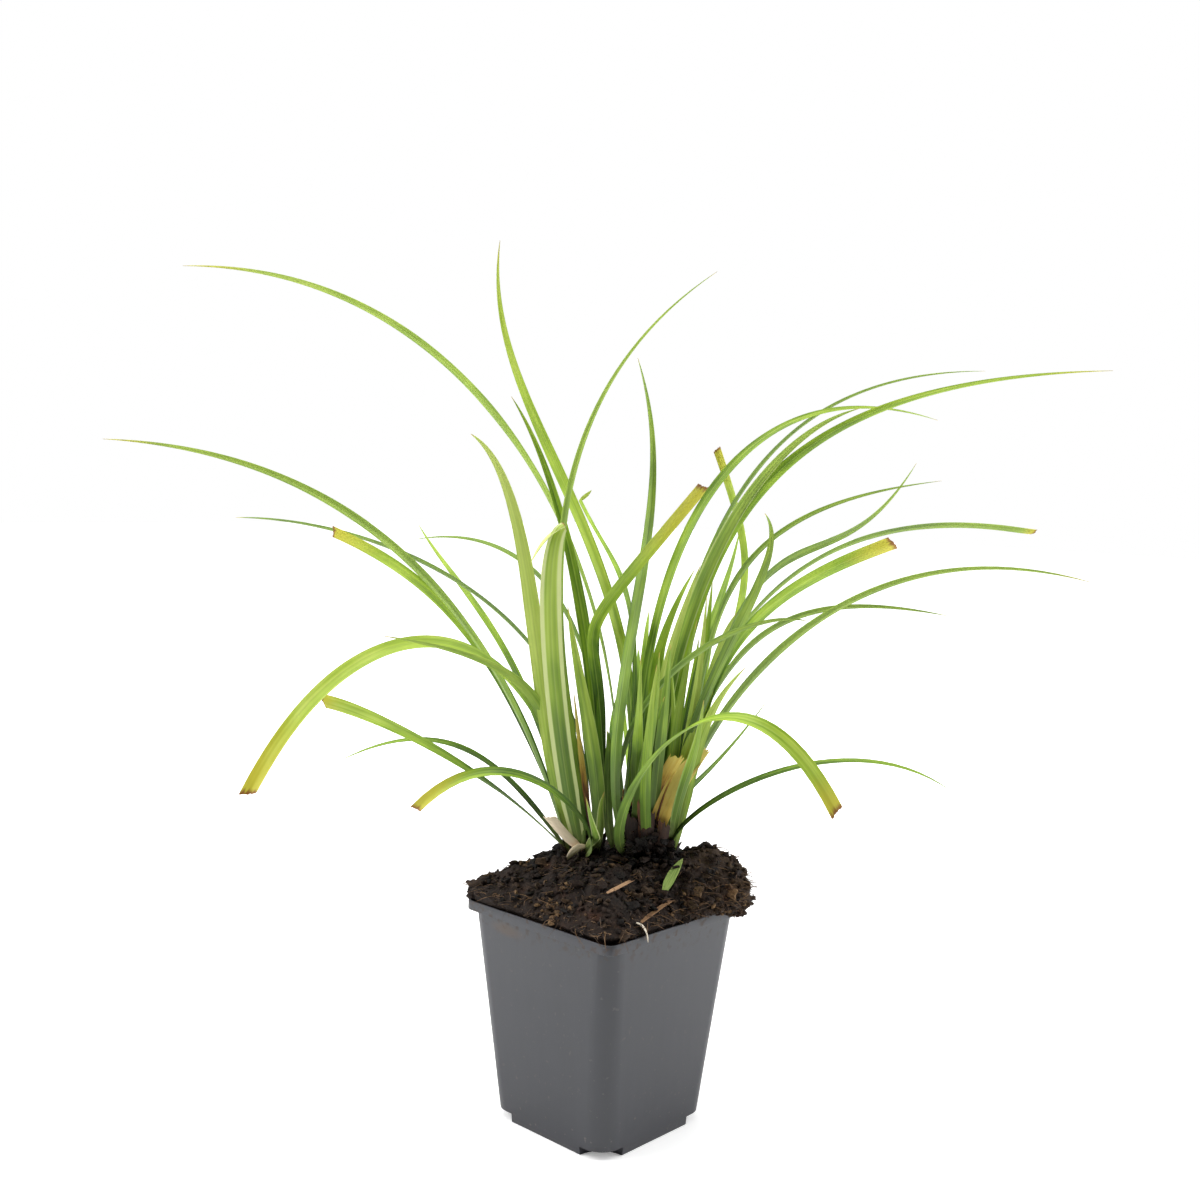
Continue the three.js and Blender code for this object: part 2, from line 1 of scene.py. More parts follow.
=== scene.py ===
"""A carex sedge in its square nursery pot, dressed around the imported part.

Everything is in metres in the part's own frame: Z up, the pot's faces along X and Y, the origin in
the middle of the pot's underside. The clump has a plan of its own, turned against the pot, and the
sizes of leaves and soil are written in millimetres and turned into metres where they are used.
"""

from __future__ import annotations

import logging
import math
import random
from dataclasses import dataclass, field
from enum import Enum
from typing import Any, Callable, Sequence

import bpy
import numpy as np
from mathutils import Matrix, Vector, noise


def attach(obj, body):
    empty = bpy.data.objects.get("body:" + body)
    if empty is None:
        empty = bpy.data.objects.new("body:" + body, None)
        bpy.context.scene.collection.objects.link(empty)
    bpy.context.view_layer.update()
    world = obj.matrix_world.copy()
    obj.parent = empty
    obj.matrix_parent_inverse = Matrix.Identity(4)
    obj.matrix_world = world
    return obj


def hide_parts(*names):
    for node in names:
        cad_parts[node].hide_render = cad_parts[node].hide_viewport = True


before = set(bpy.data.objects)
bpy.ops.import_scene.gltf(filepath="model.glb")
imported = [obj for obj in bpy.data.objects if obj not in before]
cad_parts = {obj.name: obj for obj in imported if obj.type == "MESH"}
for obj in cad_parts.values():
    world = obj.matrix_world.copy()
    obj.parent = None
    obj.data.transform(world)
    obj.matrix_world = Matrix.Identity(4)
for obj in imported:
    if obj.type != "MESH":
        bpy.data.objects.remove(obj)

log = logging.getLogger("sedge")

MM = 0.001
BODY = "root"
# Degrees from the pot's X axis round to the wide side of the clump.
CLUMP_TURN = 43.2
# Height in millimetres at which the leaves start.
CROWN = 121.0

Pair = tuple[float, float]
Point = tuple[float, float, float]
Colour = tuple[float, float, float, float]
Stops = Sequence[tuple[float, str]]
Place = Callable[[int, int], Point]


def rgb(code: str) -> Colour:
    """Turns a six-digit screen colour into the linear colour that a shader takes.

    Args:
        code: Red, green and blue as six hexadecimal digits.

    Returns:
        The linear colour with full alpha.
    """
    parts = [int(code[i : i + 2], 16) / 255 for i in (0, 2, 4)]
    linear = [p / 12.92 if p <= 0.04045 else ((p + 0.055) / 1.055) ** 2.4 for p in parts]
    return (*linear, 1.0)


def on_pot(x: float, y: float, turn: float = CLUMP_TURN) -> Pair:
    """Turns a point of the clump's plan into the pot's frame.

    Args:
        x: Along the wide side of the clump.
        y: Across it.
        turn: Degrees between the two, negative for the way back.

    Returns:
        The same point along the pot's faces.
    """
    angle = math.radians(turn)
    cos, sin = math.cos(angle), math.sin(angle)
    return x * cos - y * sin, x * sin + y * cos


# ---- Shader maths ----


class Wire:
    """A value socket that takes part in arithmetic."""

    def __init__(self, finish: Finish, socket: bpy.types.NodeSocket) -> None:
        """Wraps one socket of a finish's nodes."""
        self.finish = finish
        self.socket = socket

    def _math(self, operation: str, first: Any, second: Any = 0.0) -> Wire:
        """Adds one Math node and wraps what comes out of it."""
        node = self.finish.node("ShaderNodeMath", {"operation": operation}, {0: first, 1: second})
        return Wire(self.finish, node.outputs[0])

    def __add__(self, other: Any) -> Wire:
        """Sum."""
        return self._math("ADD", self, other)

    def __radd__(self, other: Any) -> Wire:
        """Sum with a number first."""
        return self._math("ADD", other, self)

    def __sub__(self, other: Any) -> Wire:
        """Difference."""
        return self._math("SUBTRACT", self, other)

    def __rsub__(self, other: Any) -> Wire:
        """Difference from a number."""
        return self._math("SUBTRACT", other, self)

    def __mul__(self, other: Any) -> Wire:
        """Product."""
        return self._math("MULTIPLY", self, other)

    def __rmul__(self, other: Any) -> Wire:
        """Product with a number first."""
        return self._math("MULTIPLY", other, self)

    def __abs__(self) -> Wire:
        """Size without its sign."""
        return self._math("ABSOLUTE", self)

    def sine(self) -> Wire:
        """Sine of an angle in radians."""
        return self._math("SINE", self)

    def rise(self, low: Any, high: Any) -> Wire:
        """Smooth step from 0 at one value to 1 at another.

        Args:
            low: Where the step starts.
            high: Where it ends.

        Returns:
            The share from 0 to 1.
        """
        node = self.finish.node(
            "ShaderNodeMapRange",
            {"interpolation_type": "SMOOTHSTEP"},
            {"Value": self, "From Min": low, "From Max": high},
        )
        return Wire(self.finish, node.outputs["Result"])


class Finish:
    """A material whose nodes are being wired."""

    # Sockets of a Mix node that mixes colours.
    MIX_SHARE, MIX_UNDER, MIX_OVER, MIX_RESULT = 0, 6, 7, 2

    def __init__(self, name: str) -> None:
        """Starts an empty material.

        Args:
            name: The material's name.
        """
        self.material = bpy.data.materials.new(name)
        self.material.use_nodes = True
        self.tree = self.material.node_tree
        self.tree.nodes.clear()

    def node(
        self,
        kind: str,
        settings: dict[str, Any] | None = None,
        values: dict[Any, Any] | None = None,
    ) -> bpy.types.Node:
        """Adds a node.

        Args:
            kind: The node's type.
            settings: What is set on the node itself, with a ramp's stops under "stops".
            values: Numbers, colours or wires for its sockets, by name or place.

        Returns:
            The node.
        """
        made = self.tree.nodes.new(kind)
        for key, value in (settings or {}).items():
            if key == "stops":
                self._set_stops(made.color_ramp, value)
            else:
                setattr(made, key, value)
        for key, value in (values or {}).items():
            socket = made.inputs[key]
            if isinstance(value, Wire):
                self.tree.links.new(value.socket, socket)
            else:
                socket.default_value = value
        return made

    @staticmethod
    def _set_stops(ramp: bpy.types.ColorRamp, stops: Stops) -> None:
        """Gives a ramp its stops.

        Args:
            ramp: The ramp, which has two stops when it is new.
            stops: Place from 0 to 1 and colour of each stop.
        """
        while len(ramp.elements) < len(stops):
            ramp.elements.new(1.0)
        for element, (position, code) in zip(ramp.elements, stops):
            element.position = position
            element.color = rgb(code)

    def wire(self, node: bpy.types.Node, output: int | str = 0) -> Wire:
        """Wraps one output of a node."""
        return Wire(self, node.outputs[output])

    def split(self, attribute: str) -> tuple[Wire, Wire, Wire]:
        """Reads a three-part attribute of the mesh.

        Args:
            attribute: Its name.

        Returns:
            Its three values.
        """
        read = self.node("ShaderNodeAttribute", {"attribute_name": attribute})
        parts = self.node("ShaderNodeSeparateXYZ", None, {0: self.wire(read, "Vector")})
        return self.wire(parts, 0), self.wire(parts, 1), self.wire(parts, 2)

    def point(self, x: Any, y: Any, z: Any) -> Wire:
        """Joins three values into a place for a pattern."""
        return self.wire(self.node("ShaderNodeCombineXYZ", None, {0: x, 1: y, 2: z}))

    def place(self) -> Wire:
        """Place on the object, in metres."""
        return self.wire(self.node("ShaderNodeTexCoord"), "Object")

    def speckle(self, where: Wire, scale: float, detail: float = 3.0) -> Wire:
        """Soft noise from 0 to 1.

        Args:
            where: The place that the pattern is read at.
            scale: Turns of the pattern per unit of that place.
            detail: Finer layers in it.

        Returns:
            The noise.
        """
        values = {"Vector": where, "Scale": scale, "Detail": detail}
        return self.wire(self.node("ShaderNodeTexNoise", None, values))

    def ramp(self, share: Wire, stops: Stops) -> Wire:
        """Colours along a share from 0 to 1."""
        return self.wire(self.node("ShaderNodeValToRGB", {"stops": stops}, {0: share}))

    def mix(self, share: Wire | float, under: Any, over: Any) -> Wire:
        """Lays one colour over another.

        Args:
            share: How much of the upper colour shows.
            under: The lower colour, as a wire or six digits.
            over: The upper colour, as a wire or six digits.

        Returns:
            The mixed colour.
        """
        first = rgb(under) if isinstance(under, str) else under
        second = rgb(over) if isinstance(over, str) else over
        values = {self.MIX_SHARE: share, self.MIX_UNDER: first, self.MIX_OVER: second}
        mixed = self.node("ShaderNodeMix", {"data_type": "RGBA"}, values)
        return self.wire(mixed, self.MIX_RESULT)

    def close(
        self,
        colour: Wire,
        roughness: Wire | float,
        relief: Wire,
        depth: float,
        constants: dict[str, Any] | None = None,
    ) -> bpy.types.Material:
        """Wires the surface and its relief, which ends the material.

        Args:
            colour: Base colour.
            roughness: Roughness.
            relief: Height of the relief, from 0 to 1.
            depth: How deep the relief is, in metres.
            constants: Other values of the surface that are the same all over.

        Returns:
            The finished material.
        """
        bump = self.node("ShaderNodeBump", None, {"Height": relief, "Distance": depth})
        values = {
            "Base Color": colour,
            "Roughness": roughness,
            "Normal": self.wire(bump),
            **(constants or {}),
        }
        surface = self.node("ShaderNodeBsdfPrincipled", None, values)
        self.node("ShaderNodeOutputMaterial", None, {"Surface": self.wire(surface)})
        return self.material


# ---- Finishes ----


@dataclass(frozen=True)
class LeafFinish:
    """Living sedge leaf: green with fine veins, cream margins, a yellowing end and a pale foot,
    with painted shade darkening it inside the clump and painted light lightening it towards its
    tip.

    Lengths along the leaf are in millimetres, measured from its foot or from its tip. A pattern's
    turns are counted per half width across the leaf and per millimetre along it.
    """

    greens: Stops = (
        (0.0, "2a4405"),
        (0.3, "4e7210"),
        (0.55, "87a827"),
        (0.8, "b3cd48"),
        (1.0, "cedf6a"),
    )
    vein: str = "2a4405"
    underside: str = "7f9650"
    midrib: str = "b2c465"
    cream: str = "d3dd98"
    yellow: str = "cdc23c"
    brown: str = "8c5c26"
    straw: str = "b9a05a"
    foot: str = "bccb84"
    peat: str = "3a2818"
    veins: int = 5
    vein_strength: float = 0.1
    midrib_edges: Pair = (0.02, 0.09)
    midrib_strength: float = 0.35
    underside_strength: float = 0.3
    fibre_turns: Pair = (3.5, 0.012)
    patch_turns: Pair = (0.8, 0.05)
    unevenness: float = 0.5
    # Painted shade inside the clump: the next three values say where it fades out, in millimetres
    # from the foot, how far its edge wanders, and how much darker it makes the leaf.
    inside: Pair = (10.0, 105.0)
    clump_shade_drift: float = 30.0
    painted_clump_shade: float = 0.42
    # Painted light towards the tip: the next two values say over how many millimetres from the tip
    # it fades in, and how much lighter it makes the leaf.
    outside: float = 140.0
    painted_tip_light: float = 0.2
    margin: Pair = (0.94, 1.1)
    margin_width: float = 0.4
    margin_drift: float = 0.25
    margin_strength: float = 0.9
    yellow_strength: float = 0.85
    dry_end: float = 4.0
    dry_strength: float = 0.8
    burnt_end: Pair = (0.2, 2.0)
    burnt_drift: float = 2.4
    foot_drift: float = 10.0
    pale_foot: Pair = (4.0, 30.0)
    pale_strength: float = 0.25
    soiled_foot: Pair = (1.0, 9.0)
    soiled_strength: float = 0.75
    roughness: Pair = (0.45, 0.16)
    specular: float = 0.35
    relief_depth: float = 0.00004

    def make(self) -> bpy.types.Material:
        """Wires the leaf's material from its body, its margins, its end, its foot, and the painted
        shade and painted light along it.

        Returns:
            The material.
        """
        finish = Finish("sedge_leaf")
        across, root, tip = finish.split("span")
        tone, cream, mark = finish.split("look")
        cut, yellow, face = finish.split("end")
        side = abs(across)
        wide, long = self.fibre_turns
        grain = finish.speckle(finish.point(across * wide, root * long, mark), 1.0, 1.0)
        wide, long = self.patch_turns
        cloud = finish.speckle(finish.point(across * wide, root * long, mark * 3), 1.0, 1.0)
        fibres, patches = grain - 0.5, cloud - 0.5
        # Painted shade: darker near the foot, where the leaf stands inside the clump.
        inside = 1 - (root + patches * self.clump_shade_drift).rise(*self.inside)
        # Painted light: lighter towards the tip, where the leaf reaches out of the clump.
        outside = 1 - tip.rise(0.0, self.outside)
        shade = tone + fibres * self.unevenness + patches * self.unevenness
        # The painted shade and the painted light go into the green ramp here.
        shade = shade - inside * self.painted_clump_shade + outside * self.painted_tip_light
        colour = finish.ramp(shade, self.greens)
        ribs = (across * (math.pi * self.veins)).sine() * 0.5 + 0.5
        colour = finish.mix(ribs * self.vein_strength, colour, self.vein)
        rib = (1 - side.rise(*self.midrib_edges)) * self.midrib_strength
        colour = finish.mix(rib, colour, self.midrib)
        colour = finish.mix((1 - face) * self.underside_strength, colour, self.underside)
        low, high = (edge - cream * self.margin_width for edge in self.margin)
        margin = (side + fibres * self.margin_drift).rise(low, high)
        margin = margin * cream.rise(0.0, 1.0) * self.margin_strength
        colour = finish.mix(margin, colour, self.cream)
        ending = 1 - (tip + patches * yellow * 0.5).rise(0.0, yellow)
        colour = finish.mix(ending * self.yellow_strength, colour, self.yellow)
        dried = 1 - (tip + fibres * self.dry_end).rise(0.0, self.dry_end)
        dried = dried * (1 - cut) * yellow.rise(0.0, self.dry_end) * self.dry_strength
        colour = finish.mix(dried, colour, self.straw)
        burnt = 1 - (tip + fibres * self.burnt_drift).rise(*self.burnt_end)
        colour = finish.mix(burnt * cut, colour, self.brown)
        height = root + patches * self.foot_drift
        pale = (1 - height.rise(*self.pale_foot)) * self.pale_strength
        colour = finish.mix(pale, colour, self.foot)
        soiled = (1 - height.rise(*self.soiled_foot)) * self.soiled_strength
        colour = finish.mix(soiled, colour, self.peat)
        relief = ribs * 0.55 + grain * 0.3 + side.rise(0.0, 0.12) * 0.15
        least, more = self.roughness
        shine = {"Specular IOR Level": self.specular}
        return finish.close(colour, least + cloud * more, relief, self.relief_depth, shine)


@dataclass(frozen=True)
class SheathFinish:
    """Withered leaf sheath: golden above, brown and fibrous below."""

    name: str = "old_sheath"
    stops: Stops = (
        (0.0, "22150d"),
        (0.25, "3d2415"),
        (0.45, "6e4423"),
        (0.6, "a67f36"),
        (0.75, "cdab4b"),
        (1.0, "dac766"),
    )
    length: float = 52.0
    fibre_turns: Pair = (9.0, 0.05)
    patch_turns: Pair = (1.2, 0.12)
    unevenness: float = 0.5
    tone_strength: float = 0.8
    roughness: Pair = (0.62, 0.2)
    relief_depth: float = 0.0003

    def make(self) -> bpy.types.Material:
        """Wires the sheath's material.

        Returns:
            The material.
        """
        finish = Finish(self.name)
        across, root, _ = finish.split("span")
        tone, _, mark = finish.split("look")
        wide, long = self.fibre_turns
        fibres = finish.speckle(finish.point(across * wide, root * long, mark), 1.0, 4.0)
        wide, long = self.patch_turns
        patches = finish.speckle(finish.point(across * wide, root * long, mark * 2), 1.0, 2.0)
        height = root * (1 / self.length)
        height = height + (fibres - 0.5) * self.unevenness + (patches - 0.5) * self.unevenness
        colour = finish.ramp(height + (tone - 0.5) * self.tone_strength, self.stops)
        least, more = self.roughness
        return finish.close(colour, least + fibres * more, fibres, self.relief_depth)


@dataclass(frozen=True)
class SoilFinish:
    """Peaty compost: dark and damp, with reddish and golden crumbs in it."""

    name: str = "peat"
    stops: Stops = ((0.25, "0f0a07"), (0.5, "271a12"), (0.78, "40301f"), (1.0, "7f6445"))
    red: str = "4a2717"
    red_patches: Pair = (0.6, 0.75)
    red_strength: float = 0.4
    clods_per_metre: float = 90.0
    crumbs_per_metre: float = 900.0
    grains_per_metre: float = 520.0
    tint_strength: float = 0.9
    roughness: Pair = (0.75, 0.2)
    specular: float = 0.3
    relief_depth: float = 0.0012

    def make(self) -> bpy.types.Material:
        """Wires the soil's material.

        Returns:
            The material.
        """
        finish = Finish(self.name)
        where = finish.place()
        coarse = finish.speckle(where, self.clods_per_metre, 3.0)
        fine = finish.speckle(where, self.crumbs_per_metre, 5.0)
        cells = {"Vector": where, "Scale": self.grains_per_metre}
        grain = finish.wire(finish.node("ShaderNodeTexVoronoi", None, cells), "Distance")
        tint, _, _ = finish.split("look")
        share = fine * 0.5 + coarse * 0.5 + (tint - 0.5) * self.tint_strength
        colour = finish.ramp(share, self.stops)
        reddish = coarse.rise(*self.red_patches) * self.red_strength
        colour = finish.mix(reddish, colour, self.red)
        relief = fine * 0.6 + grain * 0.4
        least, more = self.roughness
        shine = {"Specular IOR Level": self.specular}
        return finish.close(colour, least + fine * more, relief, self.relief_depth, shine)


@dataclass(frozen=True)
class StrandFinish:
    """Dry strand, straw or root, streaked along its length."""

    name: str
    dark: str
    light: str
    end: str
    streak_turns: Pair = (5.0, 0.12)
    streak_edges: Pair = (0.25, 0.75)
    end_length: float = 3.0
    end_strength: float = 0.7
    roughness: Pair = (0.7, 0.15)
    relief_depth: float = 0.0002

    def make(self) -> bpy.types.Material:
        """Wires the strand's material.

        Returns:
            The material.
        """
        finish = Finish(self.name)
        across, root, tip = finish.split("span")
        tone, _, mark = finish.split("look")
        wide, long = self.streak_turns
        streaks = finish.speckle(finish.point(across * wide, root * long, mark), 1.0, 4.0)
        light = (streaks + (tone - 0.5)).rise(*self.streak_edges)
        colour = finish.mix(light, self.dark, self.light)
        ending = (1 - tip.rise(0.0, self.end_length)) * self.end_strength
        colour = finish.mix(ending, colour, self.end)
        least, more = self.roughness
        return finish.close(colour, least + streaks * more, streaks, self.relief_depth)


@dataclass(frozen=True)
class PotFinish:
    """Dark satin polypropylene with a fine moulded grain, handling marks and a smear of soil.

    Heights are in metres, and patterns are counted in turns per metre.
    """

    base: str = "323338"
    worn: str = "414248"
    worn_strength: float = 0.35
    drawn_strength: float = 0.25
    cloud_turns: float = 45.0
    grain_turns: float = 2600.0
    drawn_turns: Pair = (260.0, 12.0)
    speck: str = "8a857c"
    speck_turns: float = 420.0
    speck_edges: Pair = (0.66, 0.74)
    speck_strength: Pair = (0.15, 0.2)
    foot: float = 0.03
    mud: str = "4a3a2c"
    smear: Point = (-0.018, -0.045, 0.0915)
    smear_pull: Point = (1.0, 0.6, 3.2)
    smear_edges: Pair = (0.003, 0.013)
    smear_drift: Pair = (0.012, 0.004)
    smear_strength: float = 0.6
    dust_height: Pair = (0.084, 0.0995)
    dust_turns: float = 300.0
    dust_edges: Pair = (0.5, 0.68)
    dust_strength: float = 0.55
    roughness: float = 0.36
    specular: float = 0.55
    relief_depth: float = 0.00003

    def make(self) -> bpy.types.Material:
        """Wires the pot's material.

        Returns:
            The material.
        """
        finish = Finish("pot_plastic")
        where = finish.place()
        split = finish.node("ShaderNodeSeparateXYZ", None, {0: where})
        x, y, z = (finish.wire(split, i) for i in range(3))
        clouds = finish.speckle(where, self.cloud_turns, 4.0)
        grain = finish.speckle(where, self.grain_turns, 2.0)
        round_it, up_it = self.drawn_turns
        drawn = finish.speckle(finish.point(x * round_it, y * round_it, z * up_it), 1.0, 3.0)
        wear = clouds * self.worn_strength + drawn * self.drawn_strength
        colour = finish.mix(wear, self.base, self.worn)
        specks = finish.speckle(where, self.speck_turns, 2.0).rise(*self.speck_edges)
        low = 1 - z.rise(0.0, self.foot)
        all_over, at_foot = self.speck_strength
        colour = finish.mix(specks * (all_over + low * at_foot), colour, self.speck)
        smeared = self._smear(finish, (x, y, z), clouds, grain)
        colour = finish.mix(smeared * self.smear_strength, colour, self.mud)
        patchy = finish.speckle(where, self.dust_turns, 4.0).rise(*self.dust_edges)
        dust = z.rise(*self.dust_height) * patchy
        colour = finish.mix(dust * self.dust_strength, colour, self.mud)
        roughness = self.roughness + clouds * 0.12 + specks * 0.2 + dust * 0.3
        relief = grain * 0.7 + drawn * 0.3
        shine = {"Specular IOR Level": self.specular}
        return finish.close(colour, roughness, relief, self.relief_depth, shine)

    def _smear(
        self, finish: Finish, where: tuple[Wire, Wire, Wire], clouds: Wire, grain: Wire
    ) -> Wire:
        """Marks a flat, ragged smear of soil below the lip.

        Args:
            finish: The material that is being wired.
            where: Place on the pot along X, Y and Z.
            clouds: Broad noise that makes its outline wander.
            grain: Fine noise that makes it ragged.

        Returns:
            How strongly soil is smeared, from 0 to 1.
        """
        middle = tuple(at * pull for at, pull in zip(self.smear, self.smear_pull))
        here = finish.point(*(at * pull for at, pull in zip(where, self.smear_pull)))
        blot = finish.node("ShaderNodeVectorMath", {"operation": "DISTANCE"}, {0: here, 1: middle})
        broad, fine = self.smear_drift
        ragged = finish.wire(blot, "Value") + (clouds - 0.5) * broad + (grain - 0.5) * fine
        return 1 - ragged.rise(*self.smear_edges)


# ---- Mesh tools ----


def unselect() -> None:
    """Leaves edit mode and selects nothing."""
    if bpy.context.object and bpy.context.object.mode != "OBJECT":
        bpy.ops.object.mode_set(mode="OBJECT")
    bpy.ops.object.select_all(action="DESELECT")


def choose(*objects: bpy.types.Object) -> None:
    """Selects these objects alone and makes the first one active.

    Args:
        objects: What is selected.
    """
    unselect()
    for one in objects:
        one.select_set(True)
    bpy.context.view_layer.objects.active = objects[0]


def join(name: str, objects: list[bpy.types.Object]) -> bpy.types.Object:
    """Joins objects into one.

    Args:
        name: Name of the joined object.
        objects: What is joined.

    Returns:
        The joined object.
    """
    choose(*objects)
    if len(objects) > 1:
        bpy.ops.object.join()
    made = bpy.context.object
    made.name = name
    made.data.name = name
    return made


def coordinates(mesh: bpy.types.Mesh) -> np.ndarray:
    """Reads where a mesh's vertices are.

    Args:
        mesh: The mesh.

    Returns:
        One row of X, Y and Z for each vertex.
    """
    flat = np.empty(len(mesh.vertices) * 3)
    mesh.vertices.foreach_get("co", flat)
    return flat.reshape(-1, 3)


def put(mesh: bpy.types.Mesh, points: np.ndarray) -> None:
    """Gives a mesh's vertices their places."""
    mesh.vertices.foreach_set("co", points.astype(np.float32).ravel())
    mesh.update()


def note(mesh: bpy.types.Mesh, name: str, rows: np.ndarray) -> None:
    """Keeps three values for each vertex, which a finish reads.

    Args:
        mesh: The mesh.
        name: Name of the attribute.
        rows: One row of three values for each vertex.
    """
    kept = mesh.attributes.new(name, "FLOAT_VECTOR", "POINT")
    kept.data.foreach_set("vector", rows.astype(np.float32).ravel())


def bring_in(name: str, data: bpy.types.ID) -> bpy.types.Object:
    """Adds an object to the scene.

    Args:
        name: Its name.
        data: Its mesh, its lamp or its camera.

    Returns:
        The object.
    """
    made = bpy.data.objects.new(name, data)
    bpy.context.scene.collection.objects.link(made)
    return made


def face_outwards() -> None:
    """Turns every face of the object in edit mode outwards, and leaves edit mode."""
    bpy.ops.mesh.select_all(action="SELECT")
    bpy.ops.mesh.normals_make_consistent(inside=False)
    bpy.ops.object.mode_set(mode="OBJECT")


def tower(name: str, spokes: int, rings: int, place: Place) -> bpy.types.Object:
    """Builds a closed body ring by ring: a round disc is extruded once for each further ring.

    Args:
        name: Name of the object.
        spokes: Vertices in a ring.
        rings: How many rings there are.
        place: Gives the point of a ring on a spoke, in metres.

    Returns:
        The body, with a flat cap on its first and its last ring.
    """
    unselect()
    bpy.ops.mesh.primitive_circle_add(vertices=spokes, radius=1, fill_type="NGON")
    made = bpy.context.object
    bpy.ops.object.mode_set(mode="EDIT")
    bpy.ops.mesh.select_all(action="SELECT")
    for _ in range(rings - 1):
        bpy.ops.mesh.extrude_region_move(TRANSFORM_OT_translate={"value": (0, 0, 1)})
    bpy.ops.object.mode_set(mode="OBJECT")
    raw = coordinates(made.data)
    turns = np.arctan2(raw[:, 1], raw[:, 0]) / (2 * math.pi) * spokes
    ring = np.rint(raw[:, 2]).astype(int)
    spoke = np.rint(turns - turns.min()).astype(int) % spokes
    put(made.data, np.array([place(r, s) for r, s in zip(ring, spoke)]))
    bpy.ops.object.mode_set(mode="EDIT")
    face_outwards()
    made.name = name
    return made


def pin(x: float, y: float, low: float, high: float, radius: float, sides: int) -> bpy.types.Object:
    """An upright round cutter.

    Args:
        x: Its place along X, in millimetres as the rest.
        y: Its place along Y.
        low: Its lower end.
        high: Its upper end.
        radius: Its radius.
        sides: Its sides.

    Returns:
        The cutter.
    """
    unselect()
    at = (x * MM, y * MM, (low + high) / 2 * MM)
    bpy.ops.mesh.primitive_cylinder_add(
        vertices=sides, radius=radius * MM, depth=(high - low) * MM, location=at
    )
    bpy.ops.object.transform_apply(location=True, rotation=True, scale=True)
    return bpy.context.object


class Work(Enum):
    """What a tool does to a body."""

    CUT = "DIFFERENCE"
    ADD = "UNION"
    TRIM = "INTERSECT"


def shape(body: bpy.types.Object, tool: bpy.types.Object, work: Work) -> None:
    """Cuts a tool out of a body, adds it or trims the body to it, and removes the tool.

    Args:
        body: The body that is changed.
        tool: What it is changed with.
        work: What is done with it.
    """
    choose(body)
    modifier = body.modifiers.new("shape", "BOOLEAN")
    modifier.operation = work.value
    modifier.solver = "EXACT"
    modifier.object = tool
    bpy.ops.object.modifier_apply(modifier=modifier.name)
    bpy.data.objects.remove(tool)


def smooth(made: bpy.types.Object, angle: float) -> None:
    """Shades faces as one where they meet under an angle in degrees."""
    choose(made)
    bpy.ops.object.shade_smooth_by_angle(angle=math.radians(angle))


def dress(made: bpy.types.Object, finish: bpy.types.Material, angle: float) -> None:
    """Gives a piece one finish all over, and its smooth shading.

    Args:
        made: The piece.
        finish: Its material.
        angle: Angle in degrees under which faces are shaded as one.
    """
    slots = np.zeros(len(made.data.polygons), dtype=np.int32)
    made.data.polygons.foreach_set("material_index", slots)
    made.data.materials.clear()
    made.data.materials.append(finish)
    smooth(made, angle)


def hand_in(made: bpy.types.Object, nodes: Sequence[str], slot: str) -> None:
    """Lets a finished piece ride on the part and stand for its nodes.

    Args:
        made: The piece.
        nodes: The nodes that it stands for, if any.
        slot: Not used.
    """
    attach(made, BODY)
    if nodes:
        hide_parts(*nodes)
    log.info("%s: %d faces", made.name, len(made.data.polygons))


# ---- The pot ----


